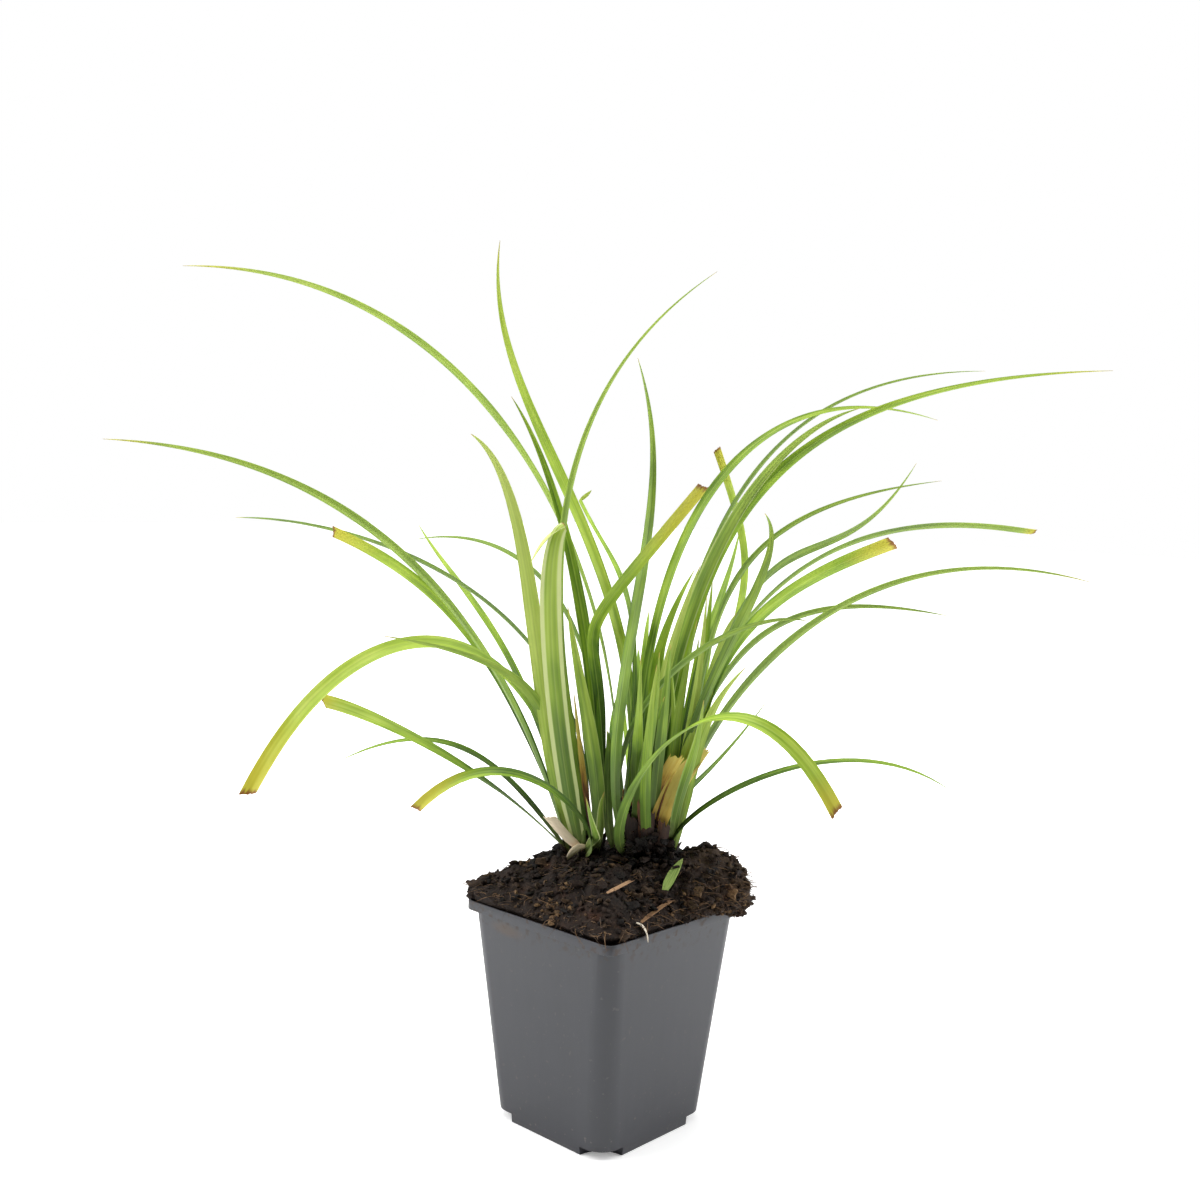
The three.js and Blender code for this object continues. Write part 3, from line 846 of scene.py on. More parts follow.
@dataclass
class Pot:
    """Square tapered nursery pot with a lip, rounded corners and a stepped, drained base."""

    height: float = 100.0
    lip_half: float = 45.0
    lip_height: float = 4.4
    lip_corner: float = 5.0
    shoulder: float = 0.8
    flare: float = 2.4
    wall_top_half: float = 43.4
    wall_foot_half: float = 34.3
    wall_corner: float = 10.0
    wall: float = 1.0
    floor: float = 1.2
    round_over: float = 0.45
    step_radius: float = 13.0
    step_height: float = 4.0
    drain_radius: float = 3.0
    drain_inset: float = 9.0
    side_drain_radius: float = 2.5
    side_drain_offset: float = 20.0
    pin_sides: int = 48
    side_pin_sides: int = 32
    arc_steps: int = 12
    smooth_angle: float = 30.0
    finish: PotFinish = field(default_factory=PotFinish)

    def wall_half(self, height: float) -> float:
        """Half side of the wall's outer face at a height."""
        share = height / (self.height - self.lip_height)
        return self.wall_foot_half + (self.wall_top_half - self.wall_foot_half) * share

    def ring_point(self, level: Point, spoke: int) -> Point:
        """Finds a point of a rounded square.

        Args:
            level: Half side, height and corner radius.
            spoke: Number of the point round the square.

        Returns:
            The point in metres.
        """
        half, height, corner = level
        per_corner = self.arc_steps + 1
        quarter, step = divmod(spoke, per_corner)
        angle = math.radians(90 * quarter + 90 * step / self.arc_steps)
        middle = math.radians(90 * quarter + 45)
        reach = math.sqrt(2) * (half - corner)
        x = reach * math.cos(middle) + corner * math.cos(angle)
        y = reach * math.sin(middle) + corner * math.sin(angle)
        return x * MM, y * MM, height * MM

    def outside_levels(self) -> list[Point]:
        """Lists the levels from the underside up to the top of the lip.

        Returns:
            Half side, height and corner radius of each level.
        """
        edge, lip_foot = self.round_over, self.height - self.lip_height
        corner, lip = self.wall_corner, self.lip_corner
        return [
            (self.wall_foot_half - edge, 0, corner - edge),
            (self.wall_foot_half - edge * 0.3, edge * 0.3, corner - edge * 0.3),
            (self.wall_half(edge), edge, corner),
            (self.wall_half(lip_foot * 0.33), lip_foot * 0.33, corner),
            (self.wall_half(lip_foot * 0.66), lip_foot * 0.66, corner),
            (self.wall_top_half - 0.02, lip_foot - 0.5, corner),
            (self.wall_top_half + 0.1, lip_foot - 0.12, corner - 0.6),
            (self.wall_top_half + 0.45, lip_foot, corner - 1.4),
            (self.lip_half - 0.4, lip_foot, lip - 0.2),
            (self.lip_half - 0.12, lip_foot + 0.12, lip),
            (self.lip_half, lip_foot + 0.4, lip),
            (self.lip_half, self.height - 0.5, lip),
            (self.lip_half - 0.15, self.height - 0.14, lip - 0.1),
            (self.lip_half - 0.5, self.height, lip - 0.4),
        ]

    def inside_levels(self) -> list[Point]:
        """Lists the levels from the top of the lip down the inside to the floor.

        Returns:
            Half side, height and corner radius of each level.
        """
        lip_foot = self.height - self.lip_height
        turn = lip_foot + self.shoulder
        corner, lip = self.wall_corner - self.wall, self.lip_corner - self.wall
        return [
            (self.lip_half - self.wall + 0.1, self.height - 0.1, lip + 0.1),
            (self.lip_half - self.wall, self.height - 0.4, lip),
            (self.lip_half - self.wall, lip_foot + self.flare, lip),
            (self.wall_half(turn) - self.wall, turn, corner),
            (self.wall_half(self.floor) - self.wall, self.floor, corner),
        ]

    def four_pins(
        self, distance: float, low: float, high: float, radius: float
    ) -> bpy.types.Object:
        """Makes one cutter of four pins, one towards each corner.

        Args:
            distance: How far out they stand along X and along Y.
            low: Their lower end.
            high: Their upper end.
            radius: Their radius.

        Returns:
            The cutter.
        """
        places = [(x, y) for x in (-distance, distance) for y in (-distance, distance)]
        pins = [pin(x, y, low, high, radius, self.pin_sides) for x, y in places]
        return join("pins", pins)

    def side_pins(self) -> bpy.types.Object:
        """Makes one cutter for the round drains along the sides of the base.

        Returns:
            The cutter.
        """
        off, radius, sides = self.side_drain_offset, self.side_drain_radius, self.side_pin_sides
        places = [(off, 0), (0, off), (-off, 0), (0, -off)]
        pins = [pin(x, y, -1, self.floor + 1, radius, sides) for x, y in places]
        return join("side_pins", pins)

    def build(self) -> bpy.types.Object:
        """Models the pot and dresses it.

        Returns:
            The pot.
        """
        spokes = 4 * (self.arc_steps + 1)
        levels = self.outside_levels() + self.inside_levels()
        body = tower("pot_body", spokes, len(levels), lambda r, s: self.ring_point(levels[r], s))
        solid = self.outside_levels()
        full = tower("full", spokes, len(solid), lambda r, s: self.ring_point(solid[r], s))
        shelf_top = self.step_height + self.floor
        shelf = self.four_pins(self.wall_foot_half, 0, shelf_top, self.step_radius + self.floor)
        shape(shelf, full, Work.TRIM)
        shape(body, shelf, Work.ADD)
        step = self.four_pins(self.wall_foot_half, -1, self.step_height, self.step_radius)
        shape(body, step, Work.CUT)
        drain_at = self.wall_foot_half - self.drain_inset
        shape(body, self.four_pins(drain_at, -1, shelf_top + 1, self.drain_radius), Work.CUT)
        shape(body, self.side_pins(), Work.CUT)
        body.name = body.data.name = "nursery_pot"
        dress(body, self.finish.make(), self.smooth_angle)
        hand_in(body, ["pot"], "pot_plastic")
        return body


# ---- The soil ----


@dataclass(frozen=True)
class Bulge:
    """A corner of the mound that swells out over the rim.

    Attributes:
        towards: Direction of the corner in degrees.
        spread: Power that keeps the bulge to its corner.
        reach: How far it pushes the soil's edge out.
        slope: How much flatter it makes the top before the edge.
        lift: How much higher it makes the mound.
        brim: How much higher it makes the edge itself.
    """

    towards: float
    spread: float
    reach: float
    slope: float
    lift: float
    brim: float

    def pull(self, x: float, y: float) -> float:
        """How strongly the bulge acts in a direction, from 0 to 1."""
        away = math.atan2(y, x) - math.radians(self.towards)
        return max(0.0, math.cos(away)) ** self.spread


class Where(Enum):
    """Where crumbs of a lot lie."""

    ANYWHERE = "anywhere"
    FULL_CORNER = "full corner"
    LOW_CORNER = "low corner"
    OVER_LIP = "over the lip"
    NEAR_RIM = "near rim"
    FEET = "feet"


@dataclass(frozen=True)
class Patch:
    """A stretch of the mound's rim.

    Attributes:
        towards: Direction of its middle in degrees.
        spread: How far round it spreads.
        near: Share of the way to the soil's edge at which it starts.
        far: Share at which it ends.
    """

    towards: float
    spread: float
    near: float
    far: float


PATCHES = {
    Where.FULL_CORNER: Patch(45, 22, 0.86, 1.02),
    Where.LOW_CORNER: Patch(225, 9, 0.8, 1.0),
    Where.NEAR_RIM: Patch(281, 5, 0.88, 1.01),
}


@dataclass(frozen=True)
class Lot:
    """Crumbs that are strewn together.

    Attributes:
        count: How many crumbs.
        sizes: Smallest and largest radius in millimetres.
        sides: Faces round a crumb.
        where: Where they lie.
        tint: How light they are, from 0 to 1.
    """

    count: int
    sizes: Pair
    sides: int
    where: Where
    tint: float


@dataclass
class Soil:
    """Compost that fills the pot and stands over its rim in a crumbly mound.

    Its rings run from the middle of its underside up inside the pot, over the rim and in to the
    middle of the mound. Where the clump stands, the top is a level hollow, and dark peat is heaped
    round the fuller half. Lengths are in millimetres, and a wave has its radians per millimetre
    along X and along Y, its start and its height.
    """

    pot: Pot
    edge_half: float = 44.3
    squareness: float = 12.0
    edge_bottom: float = 100.3
    edge_bottom_share: float = 0.96
    edge_top: float = 102.4
    mound: float = 19.5
    slope: float = 3.0
    calm_edge: float = 0.25
    bulges: tuple[Bulge, ...] = (
        Bulge(45, 8, 7.5, 6, 6, 0),
        Bulge(225, 16, 2.5, -0.4, 0, 4),
    )
    brim_power: float = 8.0
    waves: tuple[tuple[float, float, float, float], ...] = (
        (0.23, 0.19, 1.3, 0.5),
        (0.23, -0.19, 0.9, 0.5),
        (0.51, 0.37, 2.1, 0.4),
        (-0.29, 0.43, 0.0, 0.4),
    )
    hollow_middle: Pair = (6.5, 5.0)
    hollow_half: Pair = (38.0, 22.0)
    hollow_level: float = 120.5
    hollow_steepness: float = 2.0
    heap_middle: Pair = (17.0, -3.5)
    heap_spread: float = 8.5
    heap_depth_share: float = 0.6
    heap_height: float = 34.0
    hang: float = 6.0
    hang_spread: float = 7.0
    edge_pull: float = 0.42
    sunk: Pair = (-0.35, 0.45)
    torn_from: float = 0.93
    torn_share: float = 0.6
    torn_height: float = 3.5
    small_pull: float = 2.2
    spokes: int = 220
    mound_rings: int = 58
    crowding: float = 1.15
    inside_heights: tuple[float, ...] = (7.5, 7.5, 60.0, 99.0)
    inside_corner: float = 8.0
    inside_clearance: float = 1.2
    middle_share: float = 0.75
    clump_turns: float = 0.16
    clump_height: float = 1.7
    grit_turns: float = 0.55
    edge_rough: float = 0.35
    ragged: float = 0.012
    ragged_turns: float = 0.3
    ragged_from: float = 0.9
    kinds: int = 6
    knocks: float = 0.75
    knock_turns: float = 1.1
    flatness: float = 0.72
    stretches: tuple[Pair, Pair, Pair] = ((0.7, 1.8), (0.6, 1.1), (0.6, 1.0))
    tilt: float = 1.2
    lumps: tuple[Lot, ...] = (
        Lot(150, (1.6, 3.4), 8, Where.ANYWHERE, 0.45),
        Lot(130, (1.2, 3.2), 8, Where.FULL_CORNER, 0.6),
        Lot(50, (1.0, 2.4), 8, Where.LOW_CORNER, 0.45),
        Lot(90, (0.8, 1.6), 8, Where.OVER_LIP, 0.5),
        Lot(380, (1.0, 2.8), 8, Where.FEET, 0.2),
    )
    crumbs: tuple[Lot, ...] = (
        Lot(1500, (0.5, 1.7), 6, Where.ANYWHERE, 0.5),
        Lot(420, (0.4, 1.5), 6, Where.FULL_CORNER, 0.65),
        Lot(140, (0.4, 1.3), 6, Where.OVER_LIP, 0.6),
        Lot(60, (0.6, 1.6), 6, Where.NEAR_RIM, 0.85),
    )
    tint: float = 0.42
    full_corner_tint: float = 0.25
    tint_spread: float = 0.2
    smooth_angle: float = 60.0
    seed: int = 31

    def edge_reach(self, x: float, y: float) -> float:
        """Finds how far the soil reaches in the direction of a point.

        Args:
            x: The point's place along X.
            y: Its place along Y.

        Returns:
            Distance from the pot's axis to the soil's edge.
        """
        far = math.hypot(x, y)
        power = self.squareness
        side = ((abs(x) / far) ** power + (abs(y) / far) ** power) ** (-1 / power)
        return self.edge_half * side + sum(b.reach * b.pull(x, y) for b in self.bulges)

    def top(self, x: float, y: float) -> float:
        """Finds the height of the mound over a point of the pot.

        Args:
            x: The point's place along X.
            y: Its place along Y.

        Returns:
            The height, without the crumbly relief.
        """
        share = min(1.0, math.hypot(x, y) / self.edge_reach(x, y)) if x or y else 0.0
        slope, rise, edge = self.slope, self.mound, self.edge_top
        for bulge in self.bulges:
            pull = bulge.pull(x, y)
            slope += bulge.slope * pull
            rise += bulge.lift * pull * share
            edge += bulge.brim * pull * share**self.brim_power
        calm = min(1.0, (1 - share) / self.calm_edge)
        lumps = sum(high * math.sin(u * x + v * y + turn) for u, v, turn, high in self.waves)
        free = edge + rise * (1 - share**slope) + calm * lumps
        across, away = on_pot(x, y, -CLUMP_TURN)
        across = (across - self.hollow_middle[0]) / self.hollow_half[0]
        away = (away - self.hollow_middle[1]) / self.hollow_half[1]
        inside = min(1.0, max(0.0, self.hollow_steepness * (1 - across**2 - away**2)))
        return free + (self.hollow_level - free) * inside

    def rough(self, x: float, y: float, z: float) -> float:
        """Works out the crumbly relief that is added to the mound.

        Args:
            x: Place along X.
            y: Place along Y.
            z: Height.

        Returns:
            How much higher the soil stands there.
        """
        at = Vector((x, y, z))
        clumps = noise.ridged_multi_fractal(at * self.clump_turns, 0.9, 2.1, 4, 0.9, 2.0) - 1.0
        return self.clump_height * clumps + noise.fractal(at * self.grit_turns, 0.8, 2.0, 3)

    def place(self, ring: int, spoke: int) -> Point:
        """Finds a point of the soil: up inside the pot, over the rim and in over the mound.

        Args:
            ring: Number of the ring, from the underside on.
            spoke: Number of the point round the pot.

        Returns:
            The point in metres.
        """
        angle = 2 * math.pi * spoke / self.spokes
        cos, sin = math.cos(angle), math.sin(angle)
        brim = len(self.inside_heights)
        if ring < brim:
            reach, height = self.inside_reach(ring, cos, sin), self.inside_heights[ring]
            return reach * cos * MM, reach * sin * MM, height * MM
        reach = self.edge_reach(cos, sin)
        if ring == brim:
            reach *= self.edge_bottom_share
            return reach * cos * MM, reach * sin * MM, self.edge_bottom * MM
        first = brim + 1
        share = 1 - ((ring - first) / (self.mound_rings - first)) ** self.crowding
        x, y = share * reach * cos, share * reach * sin
        z = self.top(x, y)
        lift = self.rough(x, y, z) * min(1.0, self.edge_rough + 4 * (1 - share))
        torn = noise.fractal(Vector((x, y, z)) * self.ragged_turns, 0.8, 2.0, 3)
        out = 1 + self.ragged * torn * (share > self.ragged_from)
        return x * out * MM, y * out * MM, max(self.edge_bottom, z + lift) * MM

    def inside_reach(self, ring: int, cos: float, sin: float) -> float:
        """Finds how far the soil reaches inside the pot.

        Args:
            ring: Number of the ring, where the first one lies in the middle of the underside.
            cos: The direction along X.
            sin: The direction along Y.

        Returns:
            The distance from the pot's axis in millimetres.
        """
        wall = self.pot.wall_half(self.inside_heights[ring]) - self.pot.wall
        half = wall - self.inside_clearance
        square = 1 / max(abs(cos), abs(sin)) ** 0.9
        rounded = (half - self.inside_corner) * math.sqrt(2) + self.inside_corner
        return min(half * square, rounded) * (1 if ring else self.middle_share)

    def crumb_blank(self, sides: int, seed: int) -> bpy.types.Object:
        """Models one crumb: a ball of few faces, knocked out of round.

        Args:
            sides: Faces round the ball.
            seed: Draw of its shape.

        Returns:
            The crumb, about one unit in radius.
        """
        unselect()
        bpy.ops.mesh.primitive_uv_sphere_add(segments=sides, ring_count=sides - 1, radius=1)
        made = bpy.context.object
        shift = Vector((seed * 7.3, seed * 3.1, seed * 1.7))
        points = coordinates(made.data)
        for row in points:
            at = Vector(row) * self.knock_turns + shift
            row *= 1 + self.knocks * noise.fractal(at, 0.7, 2.0, 4)
        points[:, 2] *= self.flatness
        put(made.data, points)
        return made

    def spot(self, where: Where, draw: random.Random, size: float) -> Point:
        """Draws the place of one crumb.

        Args:
            where: Where its lot lies.
            draw: The seeded draw.
            size: Its radius in millimetres.

        Returns:
            Its place in millimetres.
        """
        if where is Where.FEET:
            return self.round_feet(draw)
        if where is Where.OVER_LIP:
            return self.over_the_lip(draw, size)
        if where is Where.ANYWHERE:
            angle = draw.uniform(0, 2 * math.pi)
            return self.on_mound(draw, size, angle, draw.random() ** self.edge_pull)
        patch = PATCHES[where]
        angle = math.radians(draw.gauss(patch.towards, patch.spread))
        return self.on_mound(draw, size, angle, draw.uniform(patch.near, patch.far))

    def on_mound(self, draw: random.Random, size: float, angle: float, share: float) -> Point:
        """Finds a place on the mound, or a little way down its torn edge.

        Args:
            draw: The seeded draw.
            size: Radius of the crumb that lies there.
            angle: Direction from the pot's axis in radians.
            share: Share of the way to the soil's edge.

        Returns:
            The place in millimetres.
        """
        cos, sin = math.cos(angle), math.sin(angle)
        far = share * (self.edge_reach(cos, sin) - 0.4)
        x, y = far * cos, far * sin
        z = self.top(x, y) + size * draw.uniform(*self.sunk)
        if share > self.torn_from and draw.random() < self.torn_share:
            z = max(self.edge_bottom + size * 0.7, z - draw.uniform(0, self.torn_height))
        return x, y, z

    def over_the_lip(self, draw: random.Random, size: float) -> Point:
        """Draws a place outside the lip, where the fullest corner hangs down over it.

        Args:
            draw: The seeded draw.
            size: Radius of the crumb that hangs there.

        Returns:
            The place in millimetres.
        """
        away = draw.gauss(0, self.hang_spread)
        angle = math.radians(self.bulges[0].towards + away)
        cos, sin = math.cos(angle), math.sin(angle)
        rounded = math.sqrt(2) * (self.pot.lip_half - self.pot.lip_corner) + self.pot.lip_corner
        lip = min(self.pot.lip_half / max(abs(cos), abs(sin)), rounded)
        far = lip + size * draw.uniform(0.3, 0.9)
        drop = self.hang * draw.random() * max(0.0, 1 - (away / self.hang_spread / 2) ** 2)
        return far * cos, far * sin, self.pot.height + 1 - drop

    def round_feet(self, draw: random.Random) -> Point:
        """Draws a place in the heap of peat and rotten sheaths round the fuller tussock.

        Args:
            draw: The seeded draw.

        Returns:
            The place in millimetres.
        """
        aside = draw.gauss(0, self.heap_spread)
        away = draw.gauss(0, self.heap_spread * self.heap_depth_share)
        off = math.hypot(aside / self.heap_spread, away / self.heap_spread) / 2
        x, y = on_pot(self.heap_middle[0] + aside, self.heap_middle[1] + away)
        return x, y, self.hollow_level + self.heap_height * max(0.0, 1 - off) * draw.random()

    def scatter(self, lot: Lot) -> bpy.types.Object:
        """Strews a lot of crumbs.

        Args:
            lot: Their number, sizes, place and tint.

        Returns:
            The crumbs as one object.
        """
        draw = random.Random(self.seed + lot.count)
        blanks = [self.crumb_blank(lot.sides, k + 1) for k in range(self.kinds)]
        shapes = [coordinates(blank.data) for blank in blanks]
        least, most = lot.sizes
        crumbs = []
        for _ in range(lot.count):
            kind = draw.randrange(self.kinds)
            size = least + (most - least) * draw.random() ** self.small_pull
            at = self.spot(lot.where, draw, size)
            turn = Matrix.Rotation(draw.uniform(0, 6.28), 3, "Z")
            tilt = Matrix.Rotation(draw.uniform(-self.tilt, self.tilt), 3, "X")
            turn = np.array(turn @ tilt)
            stretch = [draw.uniform(*span) for span in self.stretches]
            points = (shapes[kind] * np.array(stretch)) @ turn.T * size + np.array(at)
            crumb = bring_in("crumb", blanks[kind].data.copy())
            put(crumb.data, points * MM)
            shade = min(1.0, max(0.0, draw.gauss(lot.tint, self.tint_spread)))
            look = np.tile([shade, 0.0, draw.random()], (len(points), 1))
            note(crumb.data, "look", look)
            crumbs.append(crumb)
        for blank in blanks:
            bpy.data.objects.remove(blank)
        return join("crumbs", crumbs)

    def build(self) -> None:
        """Models the mound with its lumps, then its crumbs, and dresses them."""
        body = tower("soil_body", self.spokes, self.mound_rings + 1, self.place)
        full = np.array([self.bulges[0].pull(x, y) for x, y, _ in coordinates(body.data)])
        tint = self.tint + self.full_corner_tint * full
        note(body.data, "look", np.column_stack([tint, full * 0, full * 0]))
        finish = SoilFinish().make()
        mound = join("soil_mound", [body, *(self.scatter(lot) for lot in self.lumps)])
        dress(mound, finish, self.smooth_angle)
        hand_in(mound, ["soil"], "soil")
        crumbs = join("soil_crumbs", [self.scatter(lot) for lot in self.crumbs])
        dress(crumbs, finish, self.smooth_angle)
        hand_in(crumbs, [], "soil")


# ---- Leaves ----


class Tip(Enum):
    """How a leaf ends."""

    POINTED = "pointed"
    CUT = "cut"


class Coat(Enum):
    """Which finish a part of a tiller wears, by its slot on the tiller."""

    LEAF = 0
    SHEATH = 1
    HUSK = 2


@dataclass(frozen=True)
class Leaf:
    """A blade, in the clump's own plan and in millimetres and degrees.

    It heads one way, its tip lies at a reach and a rise from its root, and it starts and ends at a
    steepness that it holds for a while. It bows sideways, and turns round its midrib on the way.

    Attributes:
        heading: Direction in which it leans, from the wide side of the clump.
        reach: How far its tip lies from its root on the level.
        rise: How much higher its tip lies than its root.
        start: Steepness at its root.
        end: Steepness at its tip.
        hold: How long it keeps the steepness of its root.
        flow: How long it has the steepness of its tip.
        bow: How far its middle swings sideways.
        width: Its full width.
        turn_start: Turn round its midrib at its root.
        turn_end: Turn round its midrib at its tip.
        tone: How light it is, mostly from 0 to 1.
        cream: How wide its cream margins are, from 0 for none.
        yellow: How long its yellow end is.
        tip: How it ends.
        coat: Which finish it wears.
        root: Where it starts, if not at its tiller's foot.
        starts_at: How far up a longer leaf it starts.
        wrap: How far it wraps round its stem, from 0 for a flat blade to 1.
        slimmest: Share of its width that a pointed end keeps.
        end_width: Share of its width that a cut end keeps.
    """

    heading: float
    reach: float
    rise: float
    start: float
    end: float
    hold: float
    flow: float
    bow: float
    width: float
    turn_start: float
    turn_end: float
    tone: float = 0.5
    cream: float = 0.0
    yellow: float = 4.0
    tip: Tip = Tip.POINTED
    coat: Coat = Coat.LEAF
    root: Point | None = None
    starts_at: float = 0.0
    wrap: float = 0.0
    slimmest: float = 0.035
    end_width: float = 1.0


def snipped(*sizes: float, **looks: Any) -> Leaf:
    """A leaf whose end was cut off square."""
    return Leaf(*sizes, tip=Tip.CUT, **looks)


def withered(*sizes: float, **looks: Any) -> Leaf:
    """An old sheath, torn off at its top."""
    return Leaf(*sizes, tip=Tip.CUT, coat=Coat.SHEATH, wrap=1.0, **looks)


@dataclass
class Midrib:
    """Path of a leaf from its root to its tip, in the pot's frame and in millimetres."""

    leaf: Leaf
    root: Point

    def __post_init__(self) -> None:
        """Works out the directions and pulls of the path."""
        turn = math.radians(self.leaf.heading + CLUMP_TURN)
        x, y = on_pot(self.root[0], self.root[1])
        self.origin = np.array([x, y, self.root[2]])
        self.out = np.array([math.cos(turn), math.sin(turn), 0.0])
        self.side = np.array([-math.sin(turn), math.cos(turn), 0.0])
        far = math.hypot(self.leaf.reach, self.leaf.rise)
        pull = far / math.cos(math.radians(self.leaf.start - self.leaf.end) / 4) ** 2
        self.leaving = self._towards(self.leaf.start) * pull * self.leaf.hold
        self.arriving = self._towards(self.leaf.end) * pull * self.leaf.flow

    @staticmethod
    def _towards(angle: float) -> np.ndarray:
        """Direction at a steepness, as out and up."""
        return np.array([math.cos(math.radians(angle)), math.sin(math.radians(angle))])

    def points(self, t: np.ndarray) -> np.ndarray:
        """Finds places on the path.

        Args:
            t: Shares of the way, from 0 to 1.

        Returns:
            One row of X, Y and Z for each share.
        """
        t = t[:, None]
        run = self.leaving * (t**3 - 2 * t**2 + t)
        run = run + np.array([self.leaf.reach, self.leaf.rise]) * (3 * t**2 - 2 * t**3)
        run = run + self.arriving * (t**3 - t**2)
        made = self.origin + run[:, :1] * self.out + 4 * t * (1 - t) * self.leaf.bow * self.side
        made[:, 2] += run[:, 1]
        return made

    def tangents(self, t: np.ndarray) -> np.ndarray:
        """Finds directions along the path.

        Args:
            t: Shares of the way, from 0 to 1.

        Returns:
            One row of length 1 for each share.
        """
        step = 1e-4
        ahead = self.points(np.clip(t + step, 0, 1)) - self.points(np.clip(t - step, 0, 1))
        return ahead / np.linalg.norm(ahead, axis=1, keepdims=True)

    def length(self) -> float:
        """Length of the path in millimetres."""
        steps = self.points(np.linspace(0, 1, 60))
        return float(np.linalg.norm(np.diff(steps, axis=0), axis=1).sum())


@dataclass
class BladeMaker:
    """Models a flat blank blade once for each number of stations, and bends copies of it.

    Lengths are in millimetres, and shares are of a blade's half width or of its length.

    Attributes:
        spacing: Length of a face along a blade.
        fewest: Fewest faces along it.
        most: Most faces along it.
        gutter: Depth of its gutter, as a share of its half width.
        end_curl: How much deeper the gutter is at a cut end.
        curl_length: How far down the blade that reaches.
        roundness: How round the bottom of the gutter is, and how far that lowers it.
        ripple: Height of the ripple in its margins, as a share of its half width.
        ripple_length: Length of the ripple for each radian.
        edge: Thickness at its margins.
        middle: Thickness at its midrib.
        rib_half: Share of its half width in which it thickens.
        thinning: Share of its thickness that is lost by its tip.
        foot_width: Share of its full width at its root.
        opening: How fast it widens from there.
        taper_from: Share of its length where a pointed blade starts to taper.
        taper: Power of that taper.
        narrows_from: Share of its length where a cut end starts to narrow.
        fray: Height of the teeth of a cut end.
        sheath_fray: Height of the teeth of a torn sheath.
        fray_length: How far down the blade its slant and teeth reach.
        teeth: Radians of its broad and its fine teeth per half width.
        slant: How much longer one margin is at a cut end, as a share of its half width.
        wrapped: Radians by which half a sheath wraps at its root, and how many are lost by its tip.
        coats: The finishes, in the order of Coat.
        blanks: The blanks by their number of faces along.
    """

    columns: int = 10
    spacing: float = 4.5
    fewest: int = 8
    most: int = 80
    gutter: float = 0.22
    end_curl: float = 1.3
    curl_length: float = 14.0
    roundness: Pair = (0.012, 0.11)
    ripple: float = 0.03
    ripple_length: float = 9.0
    edge: float = 0.3
    middle: float = 0.6
    rib_half: float = 0.6
    thinning: float = 0.45
    foot_width: float = 0.5
    opening: float = 2.2
    taper_from: float = 0.55
    taper: float = 0.7
    narrows_from: float = 0.7
    fray: float = 0.175
    sheath_fray: float = 0.8
    fray_length: float = 5.0
    teeth: Pair = (9, 17)
    slant: float = 0.5
    wrapped: Pair = (1.25, 0.6)
    smooth_angle: float = 50.0
    seed: int = 5
    coats: tuple[bpy.types.Material, ...] = ()
    blanks: dict[int, bpy.types.Object] = field(default_factory=dict)

    def __post_init__(self) -> None:
        """Starts the draw that tells leaves of a kind apart."""
        self.draw = random.Random(self.seed)

    def blank(self, stations: int) -> bpy.types.Object:
        """Models a flat strip, two units long and wide and one thick.

        Args:
            stations: Faces along it.

        Returns:
            The strip, which is copied and never shown.
        """
        if stations not in self.blanks:
            unselect()
            bpy.ops.mesh.primitive_grid_add(
                x_subdivisions=self.columns, y_subdivisions=stations, size=2
            )
            made = bpy.context.object
            bpy.ops.object.mode_set(mode="EDIT")
            bpy.ops.mesh.select_all(action="SELECT")
            bpy.ops.mesh.extrude_region_move(TRANSFORM_OT_translate={"value": (0, 0, -1)})
            face_outwards()
            self.blanks[stations] = made
        return self.blanks[stations]

    def clear(self) -> None:
        """Removes the blanks once every leaf is made."""
        for blank in self.blanks.values():
            bpy.data.objects.remove(blank)
        self.blanks.clear()

    def width_share(self, t: np.ndarray, leaf: Leaf) -> np.ndarray:
        """Finds how wide a leaf is along its length.

        Args:
            t: Shares of the length.
            leaf: The leaf.

        Returns:
            Share of the full width for each of them.
        """
        opening = np.minimum(1, self.foot_width + self.opening * t)
        if leaf.tip is Tip.CUT:
            near = np.clip((t - self.narrows_from) / (1 - self.narrows_from), 0, 1)
            return opening * (1 - (1 - leaf.end_width) * near**1.4)
        closing = np.minimum(1, (1 - t) / (1 - self.taper_from))
        return opening * np.maximum(leaf.slimmest, closing**self.taper)

    def bend(self, leaf: Leaf, root: Point) -> bpy.types.Object:
        """Copies the blank and bends it into a leaf.

        Args:
            leaf: The leaf's sizes and looks.
            root: Where it starts, in the clump's plan.

        Returns:
            The leaf.
        """
        midrib = Midrib(leaf, leaf.root or root)
        length = midrib.length()
        stations = int(min(self.most, max(self.fewest, round(length / self.spacing))))
        made = bring_in("blade", self.blank(stations).data.copy())
        raw = coordinates(made.data)
        across, t, top = raw[:, 0], np.clip((raw[:, 1] + 1) / 2, 0, 1), raw[:, 2] > -0.5
        tangent = midrib.tangents(t)
        normal = np.cross(tangent, midrib.side)
        normal /= np.linalg.norm(normal, axis=1, keepdims=True)
        level = np.cross(tangent, normal)
        turn = np.radians(leaf.turn_start + (leaf.turn_end - leaf.turn_start) * t)[:, None]
        breadth = level * np.cos(turn) + np.cross(tangent, level) * np.sin(turn)
        face = np.cross(breadth, tangent)
        half = leaf.width / 2 * self.width_share(t, leaf)
        sideways, lift = self.section(across, t, leaf, half, length)
        lift = lift + np.where(top, 0.5, -0.5) * self.thickness(across, t, half)
        ragged, slant = self.ending(across, t, leaf, half, length)
        points = midrib.points(t) + breadth * sideways[:, None] + face * lift[:, None]
        points += tangent * (ragged + slant)[:, None]
        put(made.data, points * MM)
        along = t * length + leaf.starts_at
        self.describe(made.data, leaf, across, along, (1 - t) * length, top)
        self.wear(made, leaf.coat)
        return made

